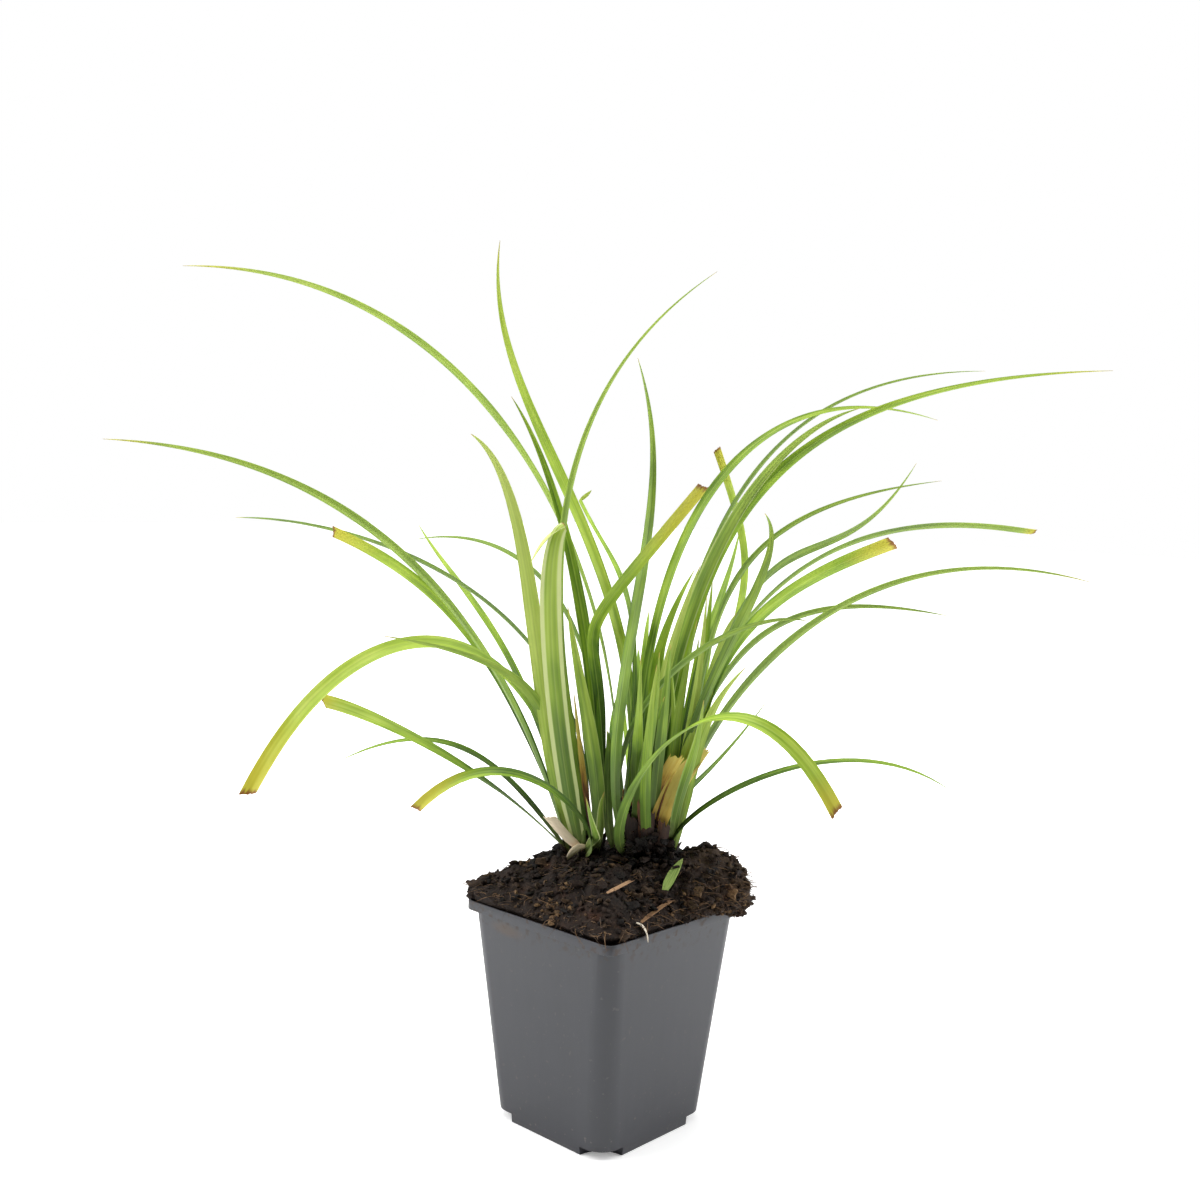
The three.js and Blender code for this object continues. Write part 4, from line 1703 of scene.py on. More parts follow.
    def thickness(self, across: np.ndarray, t: np.ndarray, half: np.ndarray) -> np.ndarray:
        """Finds how thick the blade is: most at its midrib, less towards its end.

        Args:
            across: Place across the blade, from -1 to 1.
            t: Share of the length.
            half: Half width at each point.

        Returns:
            The thickness at each point.
        """
        rib = np.maximum(0, 1 - np.abs(across) / self.rib_half)
        thick = self.edge + (self.middle - self.edge) * rib
        return thick * (1 - self.thinning * t**4) * np.minimum(1, 0.25 + half / 0.6)

    def wear(self, made: bpy.types.Object, coat: Coat) -> None:
        """Gives a part every coat of the clump, and its faces the one that they wear.

        Args:
            made: The part.
            coat: What its faces wear.
        """
        for material in self.coats:
            made.data.materials.append(material)
        slots = np.full(len(made.data.polygons), coat.value, dtype=np.int32)
        made.data.polygons.foreach_set("material_index", slots)

    def section(
        self, across: np.ndarray, t: np.ndarray, leaf: Leaf, half: np.ndarray, length: float
    ) -> tuple[np.ndarray, np.ndarray]:
        """Shapes the blade across: a shallow gutter, or a sheath that wraps round.

        Args:
            across: Place across the blade, from -1 to 1.
            t: Share of the length.
            leaf: The leaf.
            half: Half width at each point.
            length: Length of the leaf.

        Returns:
            How far each point lies sideways and above the midrib.
        """
        if leaf.wrap:
            angle = leaf.wrap * (self.wrapped[0] - self.wrapped[1] * t)
            sideways = half * np.sin(across * angle) / angle
            return sideways, half * (1 - np.cos(across * angle)) / angle
        near = np.clip(1 - (1 - t) * length / self.curl_length, 0, 1) ** 2
        curl = 1 + (leaf.tip is Tip.CUT) * self.end_curl * near
        rounded = np.sqrt(across**2 + self.roundness[0]) - self.roundness[1]
        ripple = self.ripple * np.sin(t * length / self.ripple_length + leaf.heading) * across
        return across * half, half * (self.gutter * curl * rounded + ripple)

    def ending(
        self, across: np.ndarray, t: np.ndarray, leaf: Leaf, half: np.ndarray, length: float
    ) -> tuple[np.ndarray, np.ndarray]:
        """Makes a cut end slant and fray.

        Args:
            across: Place across the blade, from -1 to 1.
            t: Share of the length.
            leaf: The leaf.
            half: Half width at each point.
            length: Length of the leaf.

        Returns:
            How far each point moves along the blade for its fraying and for its slant.
        """
        if leaf.tip is Tip.POINTED:
            return np.zeros_like(t), np.zeros_like(t)
        near = np.clip(1 - (1 - t) * length / self.fray_length, 0, 1) ** 2
        height = self.sheath_fray if leaf.coat is Coat.SHEATH else self.fray
        broad, fine = self.teeth
        teeth = np.sin(across * broad + leaf.heading) + np.sin(across * fine + leaf.reach)
        return near * teeth * height, near * across * half * self.slant

    def describe(
        self,
        mesh: bpy.types.Mesh,
        leaf: Leaf,
        across: np.ndarray,
        root: np.ndarray,
        tip: np.ndarray,
        top: np.ndarray,
    ) -> None:
        """Notes for the finish where each point lies on the leaf and how the leaf looks.

        Args:
            mesh: The leaf's mesh.
            leaf: The leaf.
            across: Place across the blade, from -1 to 1.
            root: How far each point lies from the root, in millimetres.
            tip: How far it lies from the tip.
            top: Whether it lies on the upper face.
        """
        count = len(across)
        mark = self.draw.uniform(0, 40)
        note(mesh, "span", np.column_stack([across, root, tip]))
        note(mesh, "look", np.tile([leaf.tone, leaf.cream, mark], (count, 1)))
        cut_end = np.full(count, float(leaf.tip is Tip.CUT))
        note(mesh, "end", np.column_stack([cut_end, np.full(count, leaf.yellow), top]))


@dataclass
class Tiller:
    """A leafy stem: a foot in the soil, its leaves, and the rags of old sheaths round its foot.

    A rag's height, lean, tone and width are drawn as shares of, or as steps from, its tiller's own.
    """

    name: str
    foot: Pair
    leaves: tuple[Leaf, ...]
    rags: int = 4
    rag_height: float = 16.0
    rag_width: float = 4.0
    rag_tone: float = 0.25
    rag_root: float = 3.5
    rag_heights: Pair = (0.55, 1.25)
    rag_leans: Pair = (0.05, 0.35)
    rag_tones: Pair = (-0.2, 0.25)
    rag_widths: Pair = (0.75, 1.25)
    rag_starts: Pair = (78, 95)
    rag_ends: Pair = (55, 95)
    rag_turns: Pair = (-15, 15)
    radius: float = 2.0
    top_radius: float = 0.9
    buried: float = 13.0
    neck: float = 16.0
    spokes: int = 16
    rings: int = 12
    ribs: int = 3
    rib_height: float = 0.06
    stalk_tone: float = 0.45

    def stalk(self, maker: BladeMaker) -> bpy.types.Object:
        """Models the foot: a tapered, ribbed stalk from under the soil up into the leaves.

        Args:
            maker: Its draw tells one stalk from another.

        Returns:
            The stalk.
        """
        low, high = CROWN - self.buried, CROWN + self.neck
        x, y = on_pot(*self.foot)
        mark = maker.draw.uniform(0, 40)

        def place(ring: int, spoke: int) -> Point:
            """Finds a point of the stalk's ribbed side.

            Args:
                ring: Number of the ring, from below.
                spoke: Number of the point round the stalk.

            Returns:
                The point in metres.
            """
            share = ring / (self.rings - 1)
            angle = 2 * math.pi * spoke / self.spokes
            radius = self.radius + (self.top_radius - self.radius) * share
            radius *= 1 - self.rib_height + self.rib_height * math.cos(self.ribs * angle + mark)
            at = low + (high - low) * share
            return (x + radius * math.cos(angle)) * MM, (y + radius * math.sin(angle)) * MM, at * MM

        made = tower("stalk", self.spokes, self.rings, place)
        points = coordinates(made.data) / MM
        root = np.maximum(points[:, 2] - CROWN, 0)
        across = np.sin(np.arctan2(points[:, 1] - y, points[:, 0] - x) * 2)
        count = len(points)
        note(made.data, "span", np.column_stack([across * 0.8, root, np.full(count, 60.0)]))
        note(made.data, "look", np.tile([self.stalk_tone, 0.0, mark], (count, 1)))
        note(made.data, "end", np.tile([0.0, 1.0, 1.0], (count, 1)))
        maker.wear(made, Coat.LEAF)
        return made

    def old_rags(self, draw: random.Random) -> list[Leaf]:
        """Draws the withered scraps that clasp the foot.

        Args:
            draw: The seeded draw.

        Returns:
            The scraps as leaves of their own.
        """
        made = []
        for k in range(self.rags):
            heading = 360 * (k + draw.uniform(-0.3, 0.3)) / self.rags
            off = self.radius * 0.85
            x = self.foot[0] + off * math.cos(math.radians(heading))
            y = self.foot[1] + off * math.sin(math.radians(heading))
            rise = self.rag_height * draw.uniform(*self.rag_heights)
            lean = rise * draw.uniform(*self.rag_leans)
            tone = self.rag_tone + draw.uniform(*self.rag_tones)
            width = self.rag_width * draw.uniform(*self.rag_widths)
            start, end = draw.uniform(*self.rag_starts), draw.uniform(*self.rag_ends)
            turn = draw.uniform(*self.rag_turns)
            root = (x, y, CROWN - self.rag_root)
            sizes = (heading, lean, rise, start, end, 1, 1, 0, width, turn, turn)
            made.append(withered(*sizes, tone=tone, root=root))
        return made

    def build(self, maker: BladeMaker) -> bpy.types.Object:
        """Models the tiller and dresses it.

        Args:
            maker: Bends the leaves.

        Returns:
            The tiller.
        """
        parts = [self.stalk(maker)]
        for leaf in (*self.leaves, *self.old_rags(maker.draw)):
            parts.append(maker.bend(leaf, (*self.foot, CROWN)))
        made = join(f"{self.name}_leaves", parts)
        smooth(made, maker.smooth_angle)
        hand_in(made, [self.name], "leaf")
        return made


# The rags at the darker feet of the right half.
DARK_RAGS = {"rag_width": 5.5, "rag_tone": 0.15}

TILLERS = (
    Tiller("tiller_left_outer", (-17.5, 5.8), rags=3, rag_height=9, leaves=(
        Leaf(200, 104, 46, 53, -25, 1.1, 1.3, 0, 4.2, -40, -20, tone=0.35),
        snipped(209, 116, 75, 46, 11, 1.3, 0.3, -2, 5.5, 0, -80, tone=0.6, yellow=26),
        Leaf(170, 229, 181, 73, 1, 0.9, 1.3, -1, 5, 30, 90, tone=0.55, yellow=24),
    )),
    Tiller("tiller_left_front", (-10.5, -1), rag_height=10, rag_tone=0.45, leaves=(
        snipped(213, 83, 30, 75, -61, 0.3, 1.3, 27, 4.6, -40, -40, tone=0.3, yellow=26),
        snipped(
            255, 43, 150, 84, 150, 0.5, 0.3, -7, 9, 20, 20,
            tone=0.6, cream=1, yellow=1, end_width=0.45,
        ),
        Leaf(348, 9, 30, 35, 70, 1.5, 1.2, 0, 4, -50, -60, tone=0.7, cream=0.6),
        Leaf(271, 44, 37, 75, 94, 0.9, 1.4, 5, 4, -50, 0, cream=0.6),
        Leaf(
            195, 14, -15, -20, -60, 1, 1, 0, 5, 0, 0,
            tone=1.0, cream=1.6, yellow=1, root=(-21.6, -42.5, 270), starts_at=150,
        ),
        snipped(
            195, 16, 16, 30, 50, 1, 1, 0, 5.2, 60, 60,
            tone=0.8, coat=Coat.HUSK, root=(-10.5, -2.5, 123.5), wrap=0.8,
        ),
        Leaf(
            200, 9, -6, -10, -55, 1, 1, 0, 5.6, 60, 60,
            tone=1.3, coat=Coat.HUSK, root=(-9.5, -3.5, 125.5), wrap=0.8,
        ),
    )),
    Tiller("tiller_left_middle", (-11.5, 5.5), rag_height=13, leaves=(
        Leaf(222, 67, 186, 54, 25, 0.8, 0.7, -1, 7, 50, 50, tone=0.95),
        Leaf(211, 98, 102, 59, 10, 1.2, 2.1, 2, 5.5, 60, 60),
    )),
    Tiller("tiller_left_inner", (-5, 2), rag_height=12, leaves=(
        Leaf(159, 47, 205, 98, 53, 0.5, 0.9, 1, 5.5, -70, -70, tone=0.35, cream=0.3),
        snipped(44, 64, 167, 84, 41, 2.2, 2.4, 1, 5.5, 80, 60, tone=0.45, yellow=38),
        Leaf(205, 13, 76, 78, 82, 1, 1, 0, 2.5, 60, 60, tone=0.4, coat=Coat.SHEATH),
        Leaf(233, 25, 114, 94, 83, 0.7, 1.1, 4, 6.4, 40, 40, tone=0.6, cream=0.3),
    )),
    Tiller("tiller_left_back", (-16, 10), rag_height=12, leaves=(
        snipped(159, 128, 140, 68, 19, 1.4, 1, 0, 5, 0, -80, yellow=34),
        Leaf(132, 127, 143, 73, 40, 1.5, 0.8, 2, 4, 20, -30),
        snipped(214, 153, 41, 87, -60, 1.3, 1.3, -8, 6.2, -50, -50, tone=0.7, yellow=36),
    )),
    Tiller("tiller_left_far", (-9.5, 12), rag_height=13, leaves=(
        Leaf(336, 54, 259, 30, 34, 0.3, 1.6, -16, 5, -30, -10, tone=0.55),
        Leaf(150, 220, 143, 96, -3, 1.2, 0.6, -1, 3.2, 60, 50, tone=0.3, yellow=14),
        Leaf(136, 130, 135, 103, -10, 1.1, 1.3, -2, 3.2, 60, 90, tone=0.35),
        Leaf(110, 64, 114, 96, 88, 0.7, 1.7, -2, 4.5, 0, 0, tone=0.45),
    )),
    Tiller("tiller_centre_back", (-3.5, 9), leaves=(
        Leaf(97, 62, 82, 83, 25, 1, 1, 0, 4.6, 20, 0, tone=0.4),
        Leaf(100, 13, 102, 96, 148, 0.9, 1.3, -2, 4.2, 20, 0, tone=0.3),
        Leaf(111, 32, 80, 85, 83, 0.9, 1.1, -1, 5, -20, -20, tone=0.3),
    )),
    Tiller("tiller_centre", (5, 4), rag_height=20, leaves=(
        Leaf(163, 228, 266, 92, 0, 1, 1.1, -3, 5, 10, 90, tone=0.65, yellow=40),
        Leaf(138, 86, 281, 106, 100, 1.4, 0.9, -1, 5.5, 0, -50, tone=0.7, yellow=20),
        Leaf(
            102, 111, 158, 105, 28, 1.9, 1.2, -5, 3.2, -80, -50,
            tone=0.4, yellow=0.5, slimmest=0.6,
        ),
        Leaf(
            10, 6, 5.5, 40, 50, 1, 1, 0, 2, 90, 90,
            tone=0.7, yellow=0.5, root=(-18.1, 112.6, 278.6), starts_at=160,
        ),
        Leaf(252, 21, 60, 50, 21, 0.9, 1.4, -4, 4.4, 20, 20, tone=0.4),
    )),
    Tiller("tiller_right_of_centre", (9.5, 9.5), rag_height=24, leaves=(
        Leaf(259, 12, 222, 30, 23, 2.1, 2.4, 0, 5.2, -20, 0, tone=0.4),
        Leaf(90, 55, 83, 81, 106, 1.7, 1.3, 7, 5, 20, 0, tone=0.4),
        Leaf(85, 40, 88, 74, 7, 0.8, 1.2, -2, 4.8, 10, 10, tone=0.3),
    )),
    Tiller("tiller_right_front", (12, 0), rags=9, rag_height=32, **DARK_RAGS, leaves=(
        snipped(310, 117, 44, 43, -73, 0.3, 1.8, -32, 5.8, -10, 40, yellow=14),
        Leaf(269, 60, 99, 90, 93, 1.8, 1.3, 0, 4.6, -20, -10, cream=0.2),
        Leaf(278, 49, 99, 84, 91, 1, 0.9, 0, 4.6, 0, 0, tone=0.45, cream=0.3),
        Leaf(322, 84, 114, 102, -22, 1.1, 0.3, -21, 4.2, 30, -60, tone=0.35),
        withered(340, 6, 38, 82, 74, 1, 1, -3, 3.5, 90, 90, tone=0.75),
        withered(250, 6, 24, 78, 88, 1, 1, 0, 7, 10, 10, tone=0.05, root=(12.5, -3.5, 117.5)),
        withered(275, 5, 31, 75, 90, 1, 1, 0, 5, 0, 0, tone=0.4, root=(15.5, -4.5, 117.5)),
    )),
    Tiller("tiller_right_middle", (16, 6), rags=8, rag_height=26, **DARK_RAGS, leaves=(
        Leaf(22, 149, 202, 96, -13, 1.1, 1.2, 2, 4.5, 20, 50),
        Leaf(65, 22, 98, 67, 56, 0.7, 1.7, -3, 5, 0, 0, tone=0.45),
        Leaf(88, 40, 107, 82, 29, 1, 1, 2, 4.8, 0, 0, tone=0.4),
        Leaf(54, 37, 128, 87, 44, 1.3, 1.2, 1, 5.6, 40, 40, tone=0.45),
    )),
    Tiller("tiller_right_near", (19.5, -2.5), rags=9, rag_height=30, **DARK_RAGS, leaves=(
        Leaf(274, 52, 103, 81, 52, 1, 1, 1, 5, 30, 0, tone=0.35, cream=0.2),
        Leaf(273, 42, 80, 84, 37, 1.6, 1.3, -2, 4.4, -30, -30, tone=0.3),
        withered(339, 25, 52, 76, 46, 1, 1, -4, 10, 90, 90, tone=0.95, end_width=0.3),
        withered(325, 13, 48, 80, 62, 1, 1, -3, 7, 90, 90, tone=0.4),
        withered(262, 7, 28, 72, 86, 1, 1, 0, 7, 0, 0, tone=0.15, root=(18.5, -5.5, 117.5)),
        withered(290, 8, 22, 75, 80, 1, 1, 0, 6, -20, -20, tone=0.3, root=(22.5, -5, 117.5)),
        Leaf(268, 55, 95, 77, 93, 0.6, 1, -3, 4.6, 0, 0, tone=0.55),
    )),
    Tiller("tiller_right_back", (16, 13), rag_height=20, leaves=(
        Leaf(20, 173, 227, 83, 3, 1.3, 1.2, 3, 3.2, -70, -40, tone=0.4),
        snipped(44, 43, 185, 56, 117, 2.2, 1, -1, 4, -10, 20, tone=0.65, yellow=30),
        Leaf(75, 81, 105, 59, 20, 0.7, 1.5, -4, 4.6, -10, -10, tone=0.4),
    )),
    Tiller("tiller_right_broad", (23, 3), rags=5, rag_height=18, leaves=(
        Leaf(329, 87, 201, 97, 14, 1, 0.7, 0, 5.5, -70, -70, cream=0.5),
        Leaf(298, 7, 87, 76, 92, 0.9, 1.1, 3, 4.2, 30, 0, tone=0.55),
        Leaf(293, 33, 134, 98, 62, 1, 1.1, -4, 5.2, -20, -20, tone=0.75),
        Leaf(312, 20, 109, 72, 74, 0.9, 1.4, 0, 5, -40, -40),
    )),
    Tiller("tiller_right_outer", (29, -2), rag_height=12, leaves=(
        Leaf(339, 171, 134, 97, -13, 0.4, 1.3, -2, 4.8, -20, -50, tone=0.45, yellow=12),
        Leaf(343, 121, 42, 114, -35, 0.3, 0.9, -7, 3.8, 30, 30, tone=0.3),
        Leaf(277, 62, 82, 82, 70, 1, 1, 0, 4.6, 30, -20, cream=0.35),
        Leaf(303, 48, 93, 70, 37, 1.3, 1.3, 1, 4.6, -30, -30, tone=0.8),
    )),
    Tiller("tiller_right_edge", (30, 5), rag_height=12, leaves=(
        Leaf(304, 55, 157, 92, 145, 1.3, 0.6, -2, 5, 10, -40, tone=0.4),
        snipped(324, 101, 147, 78, 21, 1.3, 1.4, -1, 5.5, 40, 90, tone=0.38, yellow=20),
        Leaf(328, 19, 84, 90, 80, 0.9, 1.2, -1, 4.4, -10, -70, tone=0.55),
        Leaf(297, 22, 120, 83, 89, 0.9, 1.3, -1, 4.6, -30, -30, tone=0.8),
        Leaf(307, 37, 114, 74, 46, 1.1, 0.8, 2, 5.2, -40, -40, tone=0.7),
    )),
    Tiller("tiller_right_long", (23, 10), leaves=(
        Leaf(1, 197, 224, 86, 3, 1.1, 1.6, 0, 5.2, 90, 50, yellow=26),
        snipped(31, 236, 147, 79, -7, 1.4, 0.9, 6, 3.6, -60, -50, tone=0.45, yellow=12),
        Leaf(10, 136, 110, 76, -10, 1.4, 1.4, 1, 4, -30, -80, tone=0.4),
    )),
    Tiller("tiller_right_far", (29, 12), leaves=(
        Leaf(66, 85, 146, 80, 55, 1.9, 0.9, -2, 4.2, -10, 10, tone=0.4),
        Leaf(23, 141, 173, 74, 7, 1.2, 1.8, 3, 3.6, -40, -100, tone=0.4),
        Leaf(38, 161, 182, 78, 50, 2.4, 1.3, 0, 4.5, -50, -100, tone=0.45),
        Leaf(50, 79, 63, 84, 39, 0.9, 2.3, 4, 2.8, 90, 70, tone=0.3),
        Leaf(74, 83, 88, 86, 72, 0.7, 1.3, 3, 4.6, -10, 0, tone=0.45),
        Leaf(77, 101, 114, 93, 97, 0.8, 1.5, 3, 3.6, -40, 10, tone=0.35),
        Leaf(68, 33, 95, 81, 72, 1, 1, 0, 5, 20, 20, tone=0.4),
        Leaf(65, 44, 122, 71, 61, 0.7, 1, -4, 4.8, 20, 20, tone=0.4),
    )),
    Tiller("tiller_far_middle", (9.5, 16), leaves=(
        Leaf(85, 85, 87, 58, 57, 0.3, 2.4, -4, 4.6, -20, 0, tone=0.35),
        Leaf(92, 95, 70, 100, 89, 1, 2.1, -5, 4.2, -30, -10, tone=0.4),
    )),
)


# ---- What lies on the soil ----


@dataclass(frozen=True)
class Scrap:
    """A strand that lies on the soil."""

    name: str
    root: Point
    leaf: Leaf
    finish: StrandFinish
    slot: str

    def build(self, maker: BladeMaker) -> bpy.types.Object:
        """Models the strand and dresses it.

        Args:
            maker: Bends the strand.

        Returns:
            The strand.
        """
        made = maker.bend(self.leaf, self.root)
        made.name = made.data.name = f"{self.name}_strand"
        dress(made, self.finish.make(), maker.smooth_angle)
        hand_in(made, [self.name], self.slot)
        return made


SCRAPS = (
    Scrap(
        "litter_straw",
        (0.5, -42.3, 116.4),
        snipped(44, 14.6, 2.5, 10, 10, 1, 1, 0, 2.4, 0, 0),
        StrandFinish("dry_straw", "7d5a40", "c39d78", "6b4a33"),
        "dry_straw",
    ),
    Scrap(
        "litter_leaf_scrap",
        (25.2, -28.7, 113.4),
        Leaf(61, 17.9, 11, 40, 22, 1, 1, 0, 4.6, 0, 0),
        StrandFinish("green_scrap", "6f8f3e", "a9bd68", "b9b77a"),
        "green_scrap",
    ),
    Scrap(
        "litter_brown_straw",
        (15, -47.1, 105.6),
        snipped(54, 23.4, 4, 14, 4, 1, 1, 0, 2.2, 0, 0),
        StrandFinish("brown_straw", "6a4a30", "a07a54", "4f3523"),
        "brown_straw",
    ),
    Scrap(
        "short_root",
        (13, -48, 105.8),
        Leaf(348, 5.2, -8, -10, -85, 1, 1, 0, 2, 0, 0),
        StrandFinish("pale_root", "c9bba3", "efe6d6", "d8c9b0"),
        "pale_root",
    ),
)


@dataclass
class Rootlets:
    """Fine roots and peat fibres that stand out of the soil, most along its torn edge.

    Attributes:
        lots: How many fibres stand towards a corner, by its direction in degrees, or anywhere.
        corner_spread: How far round a corner they spread, in degrees.
        spreads: Spread of their headings in radians, anywhere and at a corner.
        edges: Power that keeps them to the edge, anywhere and at a corner.
        thickness: Smallest and largest radius in millimetres.
        reaches: Smallest and largest length.
        sunk: How deep their roots lie, and how far in from the edge.
        lifts: How steeply they start.
        droops: How far their ends sink again, as a share of their length.
        sway: How far they wander, as a share of their length.
        sway_turn: Radians of the wandering from root to tip.
        thinning: Share of its thickness that a fibre loses by its tip.
    """

    soil: Soil
    lots: Sequence[tuple[int, float | None]] = ((420, None), (260, 45.0), (90, 225.0), (60, -45.0))
    corner_spread: float = 24.0
    spreads: Pair = (1.1, 0.7)
    edges: Pair = (0.35, 0.06)
    sides: int = 4
    rings: int = 7
    thickness: Pair = (0.1, 0.32)
    reaches: Pair = (3.0, 10.0)
    sunk: float = 0.6
    lifts: Pair = (-0.25, 0.75)
    droops: Pair = (0.0, 0.5)
    sway: float = 0.09
    sway_turn: float = 3.4
    thinning: float = 0.75
    finish: StrandFinish = StrandFinish("peat_fibre", "1b110a", "725639", "564030")
    smooth_angle: float = 60.0
    seed: int = 77

    def blank(self) -> bpy.types.Object:
        """Models a straight fibre of one unit in length and radius.

        Returns:
            The fibre, which is copied and never shown.
        """
        turn, last = 2 * math.pi / self.sides, self.rings - 1

        def place(ring: int, side: int) -> Point:
            """Point of the fibre's side."""
            return math.cos(turn * side), math.sin(turn * side), ring / last

        return tower("fibre", self.sides, self.rings, place)

    def fibre(
        self, blank: bpy.types.Object, draw: random.Random, corner: float | None
    ) -> bpy.types.Object:
        """Copies the blank and bends it into one wandering fibre.

        Args:
            blank: The straight fibre.
            draw: The seeded draw.
            corner: Direction in degrees of the corner that it hangs at, or none.

        Returns:
            The fibre.
        """
        at_corner = corner is not None
        angle = draw.uniform(0, 2 * math.pi)
        if at_corner:
            angle = math.radians(corner + draw.gauss(0, self.corner_spread))
        cos, sin = math.cos(angle), math.sin(angle)
        reach = self.soil.edge_reach(cos, sin) - self.sunk
        far = reach * draw.uniform(0, 1) ** self.edges[at_corner]
        x, y = far * cos, far * sin
        start = np.array([x, y, self.soil.top(x, y) - self.sunk])
        heading = angle + draw.gauss(0, self.spreads[at_corner])
        lift = draw.uniform(*self.lifts)
        way = np.array([math.cos(heading), math.sin(heading), lift]) / math.hypot(1, lift)
        length = draw.uniform(*self.reaches)
        wander = np.array([draw.gauss(0, 1), draw.gauss(0, 1), draw.gauss(0, 0.5)])
        sway = wander * self.sway * length
        droop = draw.uniform(*self.droops)
        side = np.array([-math.sin(heading), math.cos(heading), 0])
        made = bring_in("fibre", blank.data.copy())
        raw = coordinates(made.data)
        share = raw[:, 2:]
        points = start + way * length * share + sway * np.sin(self.sway_turn * share)
        points[:, 2:] -= droop * length * share**2
        radius = draw.uniform(*self.thickness) * (1 - self.thinning * share)
        points += (side * raw[:, :1] + np.cross(side, way) * raw[:, 1:2]) * radius
        put(made.data, points * MM)
        along = share[:, 0] * length
        note(made.data, "span", np.column_stack([along * 0, along, length - along]))
        look = [draw.random(), 0.0, draw.uniform(0, 9)]
        note(made.data, "look", np.tile(look, (len(points), 1)))
        return made

    def build(self) -> None:
        """Models every fibre and dresses them as one piece."""
        draw = random.Random(self.seed)
        blank = self.blank()
        places = [corner for count, corner in self.lots for _ in range(count)]
        made = join("soil_fibres", [self.fibre(blank, draw, corner) for corner in places])
        bpy.data.objects.remove(blank)
        dress(made, self.finish.make(), self.smooth_angle)
        hand_in(made, [], "soil")


# ---- The studio ----


@dataclass(frozen=True)
class Softbox:
    """Soft square lamp that points at the plant.

    Attributes:
        name: Its name.
        place: Right of, towards and above the plant as the camera sees it, in metres.
        size: Its side in metres.
        power: Its power in watts.
    """

    name: str
    place: Point
    size: float
    power: float


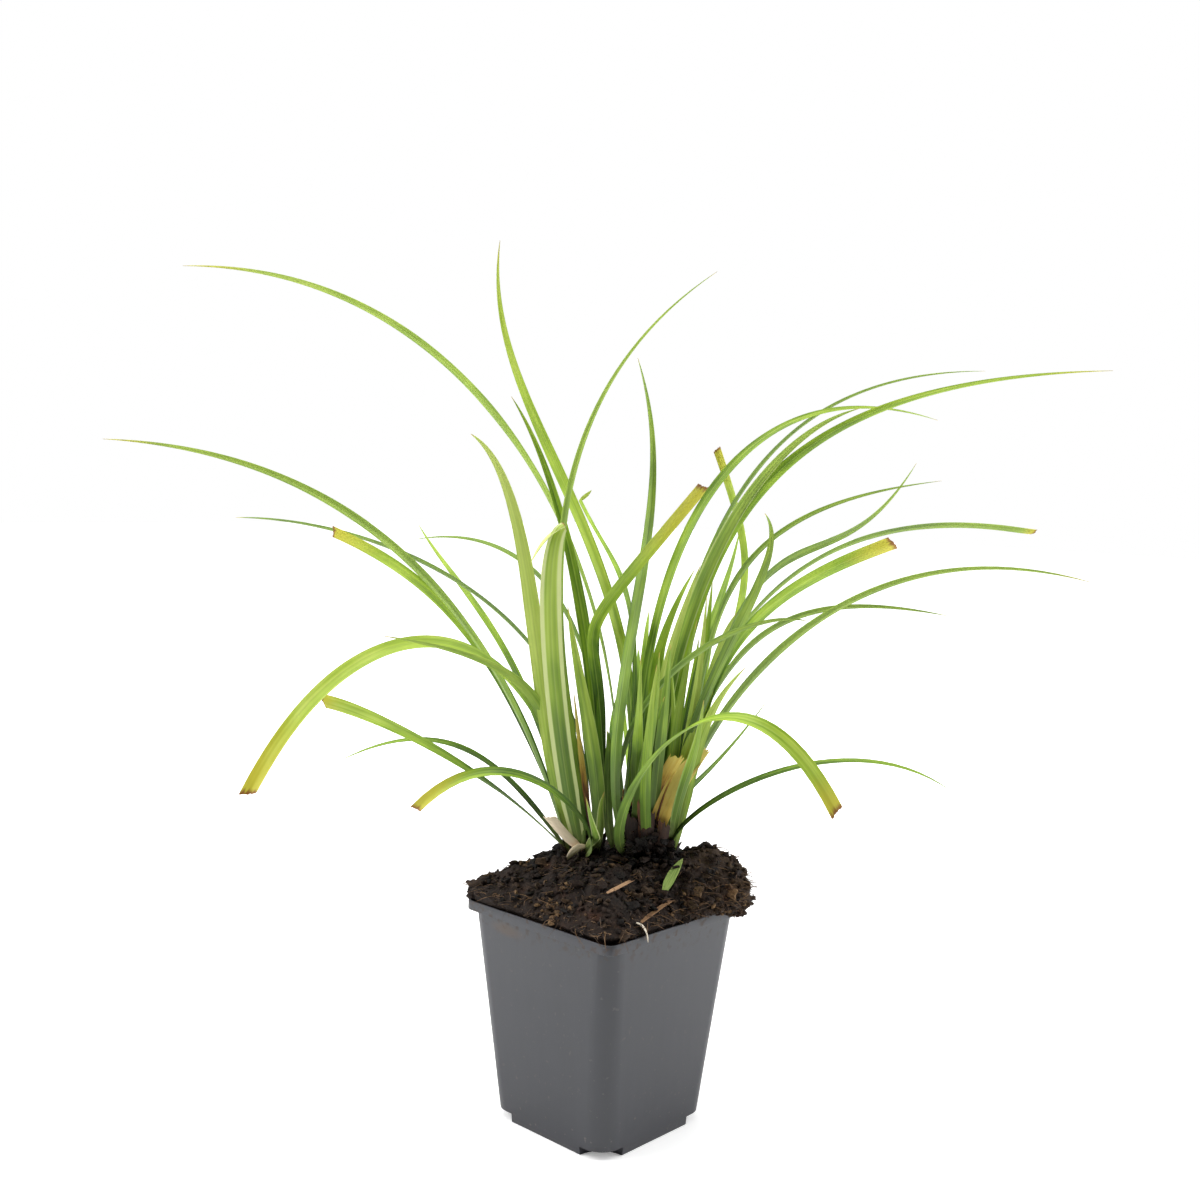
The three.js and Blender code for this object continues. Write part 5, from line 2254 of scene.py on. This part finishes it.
@dataclass
class Studio:
    """Pale floor, soft light and the camera.

    Angles are in degrees, and the camera's distance and aim in millimetres.
    """

    azimuth: float = 43.17
    elevation: float = 4.97
    roll: float = 1.69
    distance: float = 624.5
    aim_height: float = 236.6
    aim_side: float = -6.18
    lens: float = 42.2
    sensor: float = 36.0
    nearest: float = 0.02
    lit_height: float = 0.18
    floor_half: float = 6.0
    floor_glow: float = 0.3
    fade: Pair = (0.1, 1.0)
    dimming: tuple[float, float, float, float] = (-0.86, 0.4, 0.85, 0.05)
    lamps: tuple[Softbox, ...] = (
        Softbox("left_softbox", (-1.25, 0.1, 0.9), 1.0, 19),
        Softbox("right_softbox", (1.25, -0.1, 0.8), 1.0, 17),
        Softbox("top_softbox", (-0.2, 0.1, 1.9), 1.3, 23),
    )

    def camera(self) -> None:
        """Places the camera a short way off, a little above the rim."""
        turn, tilt, lean = (math.radians(a) for a in (self.azimuth, self.elevation, self.roll))
        back = Vector(
            (math.sin(turn) * math.cos(tilt), -math.cos(turn) * math.cos(tilt), math.sin(tilt))
        )
        right = Vector((math.cos(turn), math.sin(turn), 0))
        up = back.cross(right)
        across = right * math.cos(lean) + up * math.sin(lean)
        upright = up * math.cos(lean) - right * math.sin(lean)
        aim = Vector((0, 0, self.aim_height)) + right * self.aim_side
        place = (aim + back * self.distance) * MM
        data = bpy.data.cameras.new("camera")
        data.lens = self.lens
        data.sensor_width = self.sensor
        data.clip_start = self.nearest
        made = bring_in("camera", data)
        turned = Matrix((across, upright, back)).transposed()
        made.matrix_world = Matrix.Translation(place) @ turned.to_4x4()
        bpy.context.scene.camera = made

    def hang(self, lamp: Softbox) -> None:
        """Hangs one soft lamp.

        Args:
            lamp: Its place, size and power.
        """
        data = bpy.data.lights.new(lamp.name, "AREA")
        data.size = lamp.size
        data.energy = lamp.power
        made = bring_in(lamp.name, data)
        turn = math.radians(self.azimuth)
        right = Vector((math.cos(turn), math.sin(turn), 0))
        near = Vector((math.sin(turn), -math.cos(turn), 0))
        aside, towards, height = lamp.place
        made.location = right * aside + near * towards + Vector((0, 0, height))
        aim = Vector((0, 0, self.lit_height)) - made.location
        made.rotation_euler = aim.to_track_quat("-Z", "Y").to_euler()

    def sky(self) -> None:
        """Shows white paper all round, which lights the plant least from the camera's side."""
        world = bpy.data.worlds.new("studio")
        world.use_nodes = True
        nodes, links = world.node_tree.nodes, world.node_tree.links
        turn = math.radians(self.azimuth)
        way = nodes.new("ShaderNodeTexCoord")
        towards = nodes.new("ShaderNodeVectorMath")
        towards.operation = "DOT_PRODUCT"
        towards.inputs[1].default_value = (math.sin(turn), -math.cos(turn), 0.0)
        dim = nodes.new("ShaderNodeMapRange")
        dim.interpolation_type = "SMOOTHSTEP"
        for socket, value in zip(("From Min", "From Max", "To Min", "To Max"), self.dimming):
            dim.inputs[socket].default_value = value
        seen = nodes.new("ShaderNodeLightPath")
        brighter = nodes.new("ShaderNodeMath")
        brighter.operation = "MAXIMUM"
        links.new(way.outputs["Generated"], towards.inputs[0])
        links.new(towards.outputs["Value"], dim.inputs["Value"])
        links.new(seen.outputs["Is Camera Ray"], brighter.inputs[0])
        links.new(dim.outputs["Result"], brighter.inputs[1])
        links.new(brighter.outputs[0], nodes["Background"].inputs["Strength"])
        nodes["Background"].inputs["Color"].default_value = (1.0, 1.0, 1.0, 1.0)
        bpy.context.scene.world = world

    def floor(self) -> None:
        """Lays the pale floor."""
        unselect()
        bpy.ops.mesh.primitive_plane_add(size=2 * self.floor_half)
        made = bpy.context.object
        made.name = "floor"
        finish = Finish("floor_paper")
        mottle = finish.speckle(finish.place(), 3.0)
        colour = finish.mix(mottle, "fdfdfd", "ffffff")
        size = finish.node("ShaderNodeVectorMath", {"operation": "LENGTH"}, {0: finish.place()})
        far = finish.wire(size, "Value").rise(*self.fade)
        seen = finish.wire(finish.node("ShaderNodeLightPath"), "Is Camera Ray")
        shining = seen * (self.floor_glow + far * (1 - self.floor_glow))
        glow = finish.mix(shining, "000000", "ffffff")
        glow = {"Emission Color": glow, "Emission Strength": 1.0}
        paper = finish.close(colour, 0.9, mottle, 0.0001, glow)
        # The glow shows to the camera alone, so the light leaves it out.
        paper.cycles.emission_sampling = "NONE"
        made.data.materials.append(paper)

    def build(self) -> None:
        """Sets up camera, light and floor."""
        self.camera()
        self.sky()
        self.floor()
        for lamp in self.lamps:
            self.hang(lamp)
        bpy.context.scene.view_settings.view_transform = "Standard"


# ---- The plant in its pot ----


HUSK_STOPS: Stops = ((0.0, "6b452d"), (0.25, "c29772"), (0.5, "e6cba8"), (1.0, "f0dfc0"))
COATS = (
    LeafFinish(),
    SheathFinish(),
    SheathFinish("pale_husk", HUSK_STOPS, 12.0),
)


def main() -> None:
    """Builds the studio, the pot, the soil, the clump and the litter in turn."""
    logging.basicConfig(level=logging.INFO, format="%(name)s: %(message)s")
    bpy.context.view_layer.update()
    Studio().build()
    pot = Pot()
    pot.build()
    soil = Soil(pot)
    soil.build()
    Rootlets(soil).build()
    maker = BladeMaker(coats=tuple(coat.make() for coat in COATS))
    for tiller in TILLERS:
        tiller.build(maker)
    for scrap in SCRAPS:
        scrap.build(maker)
    maker.clear()
    unselect()


if __name__ == "__main__":
    main()
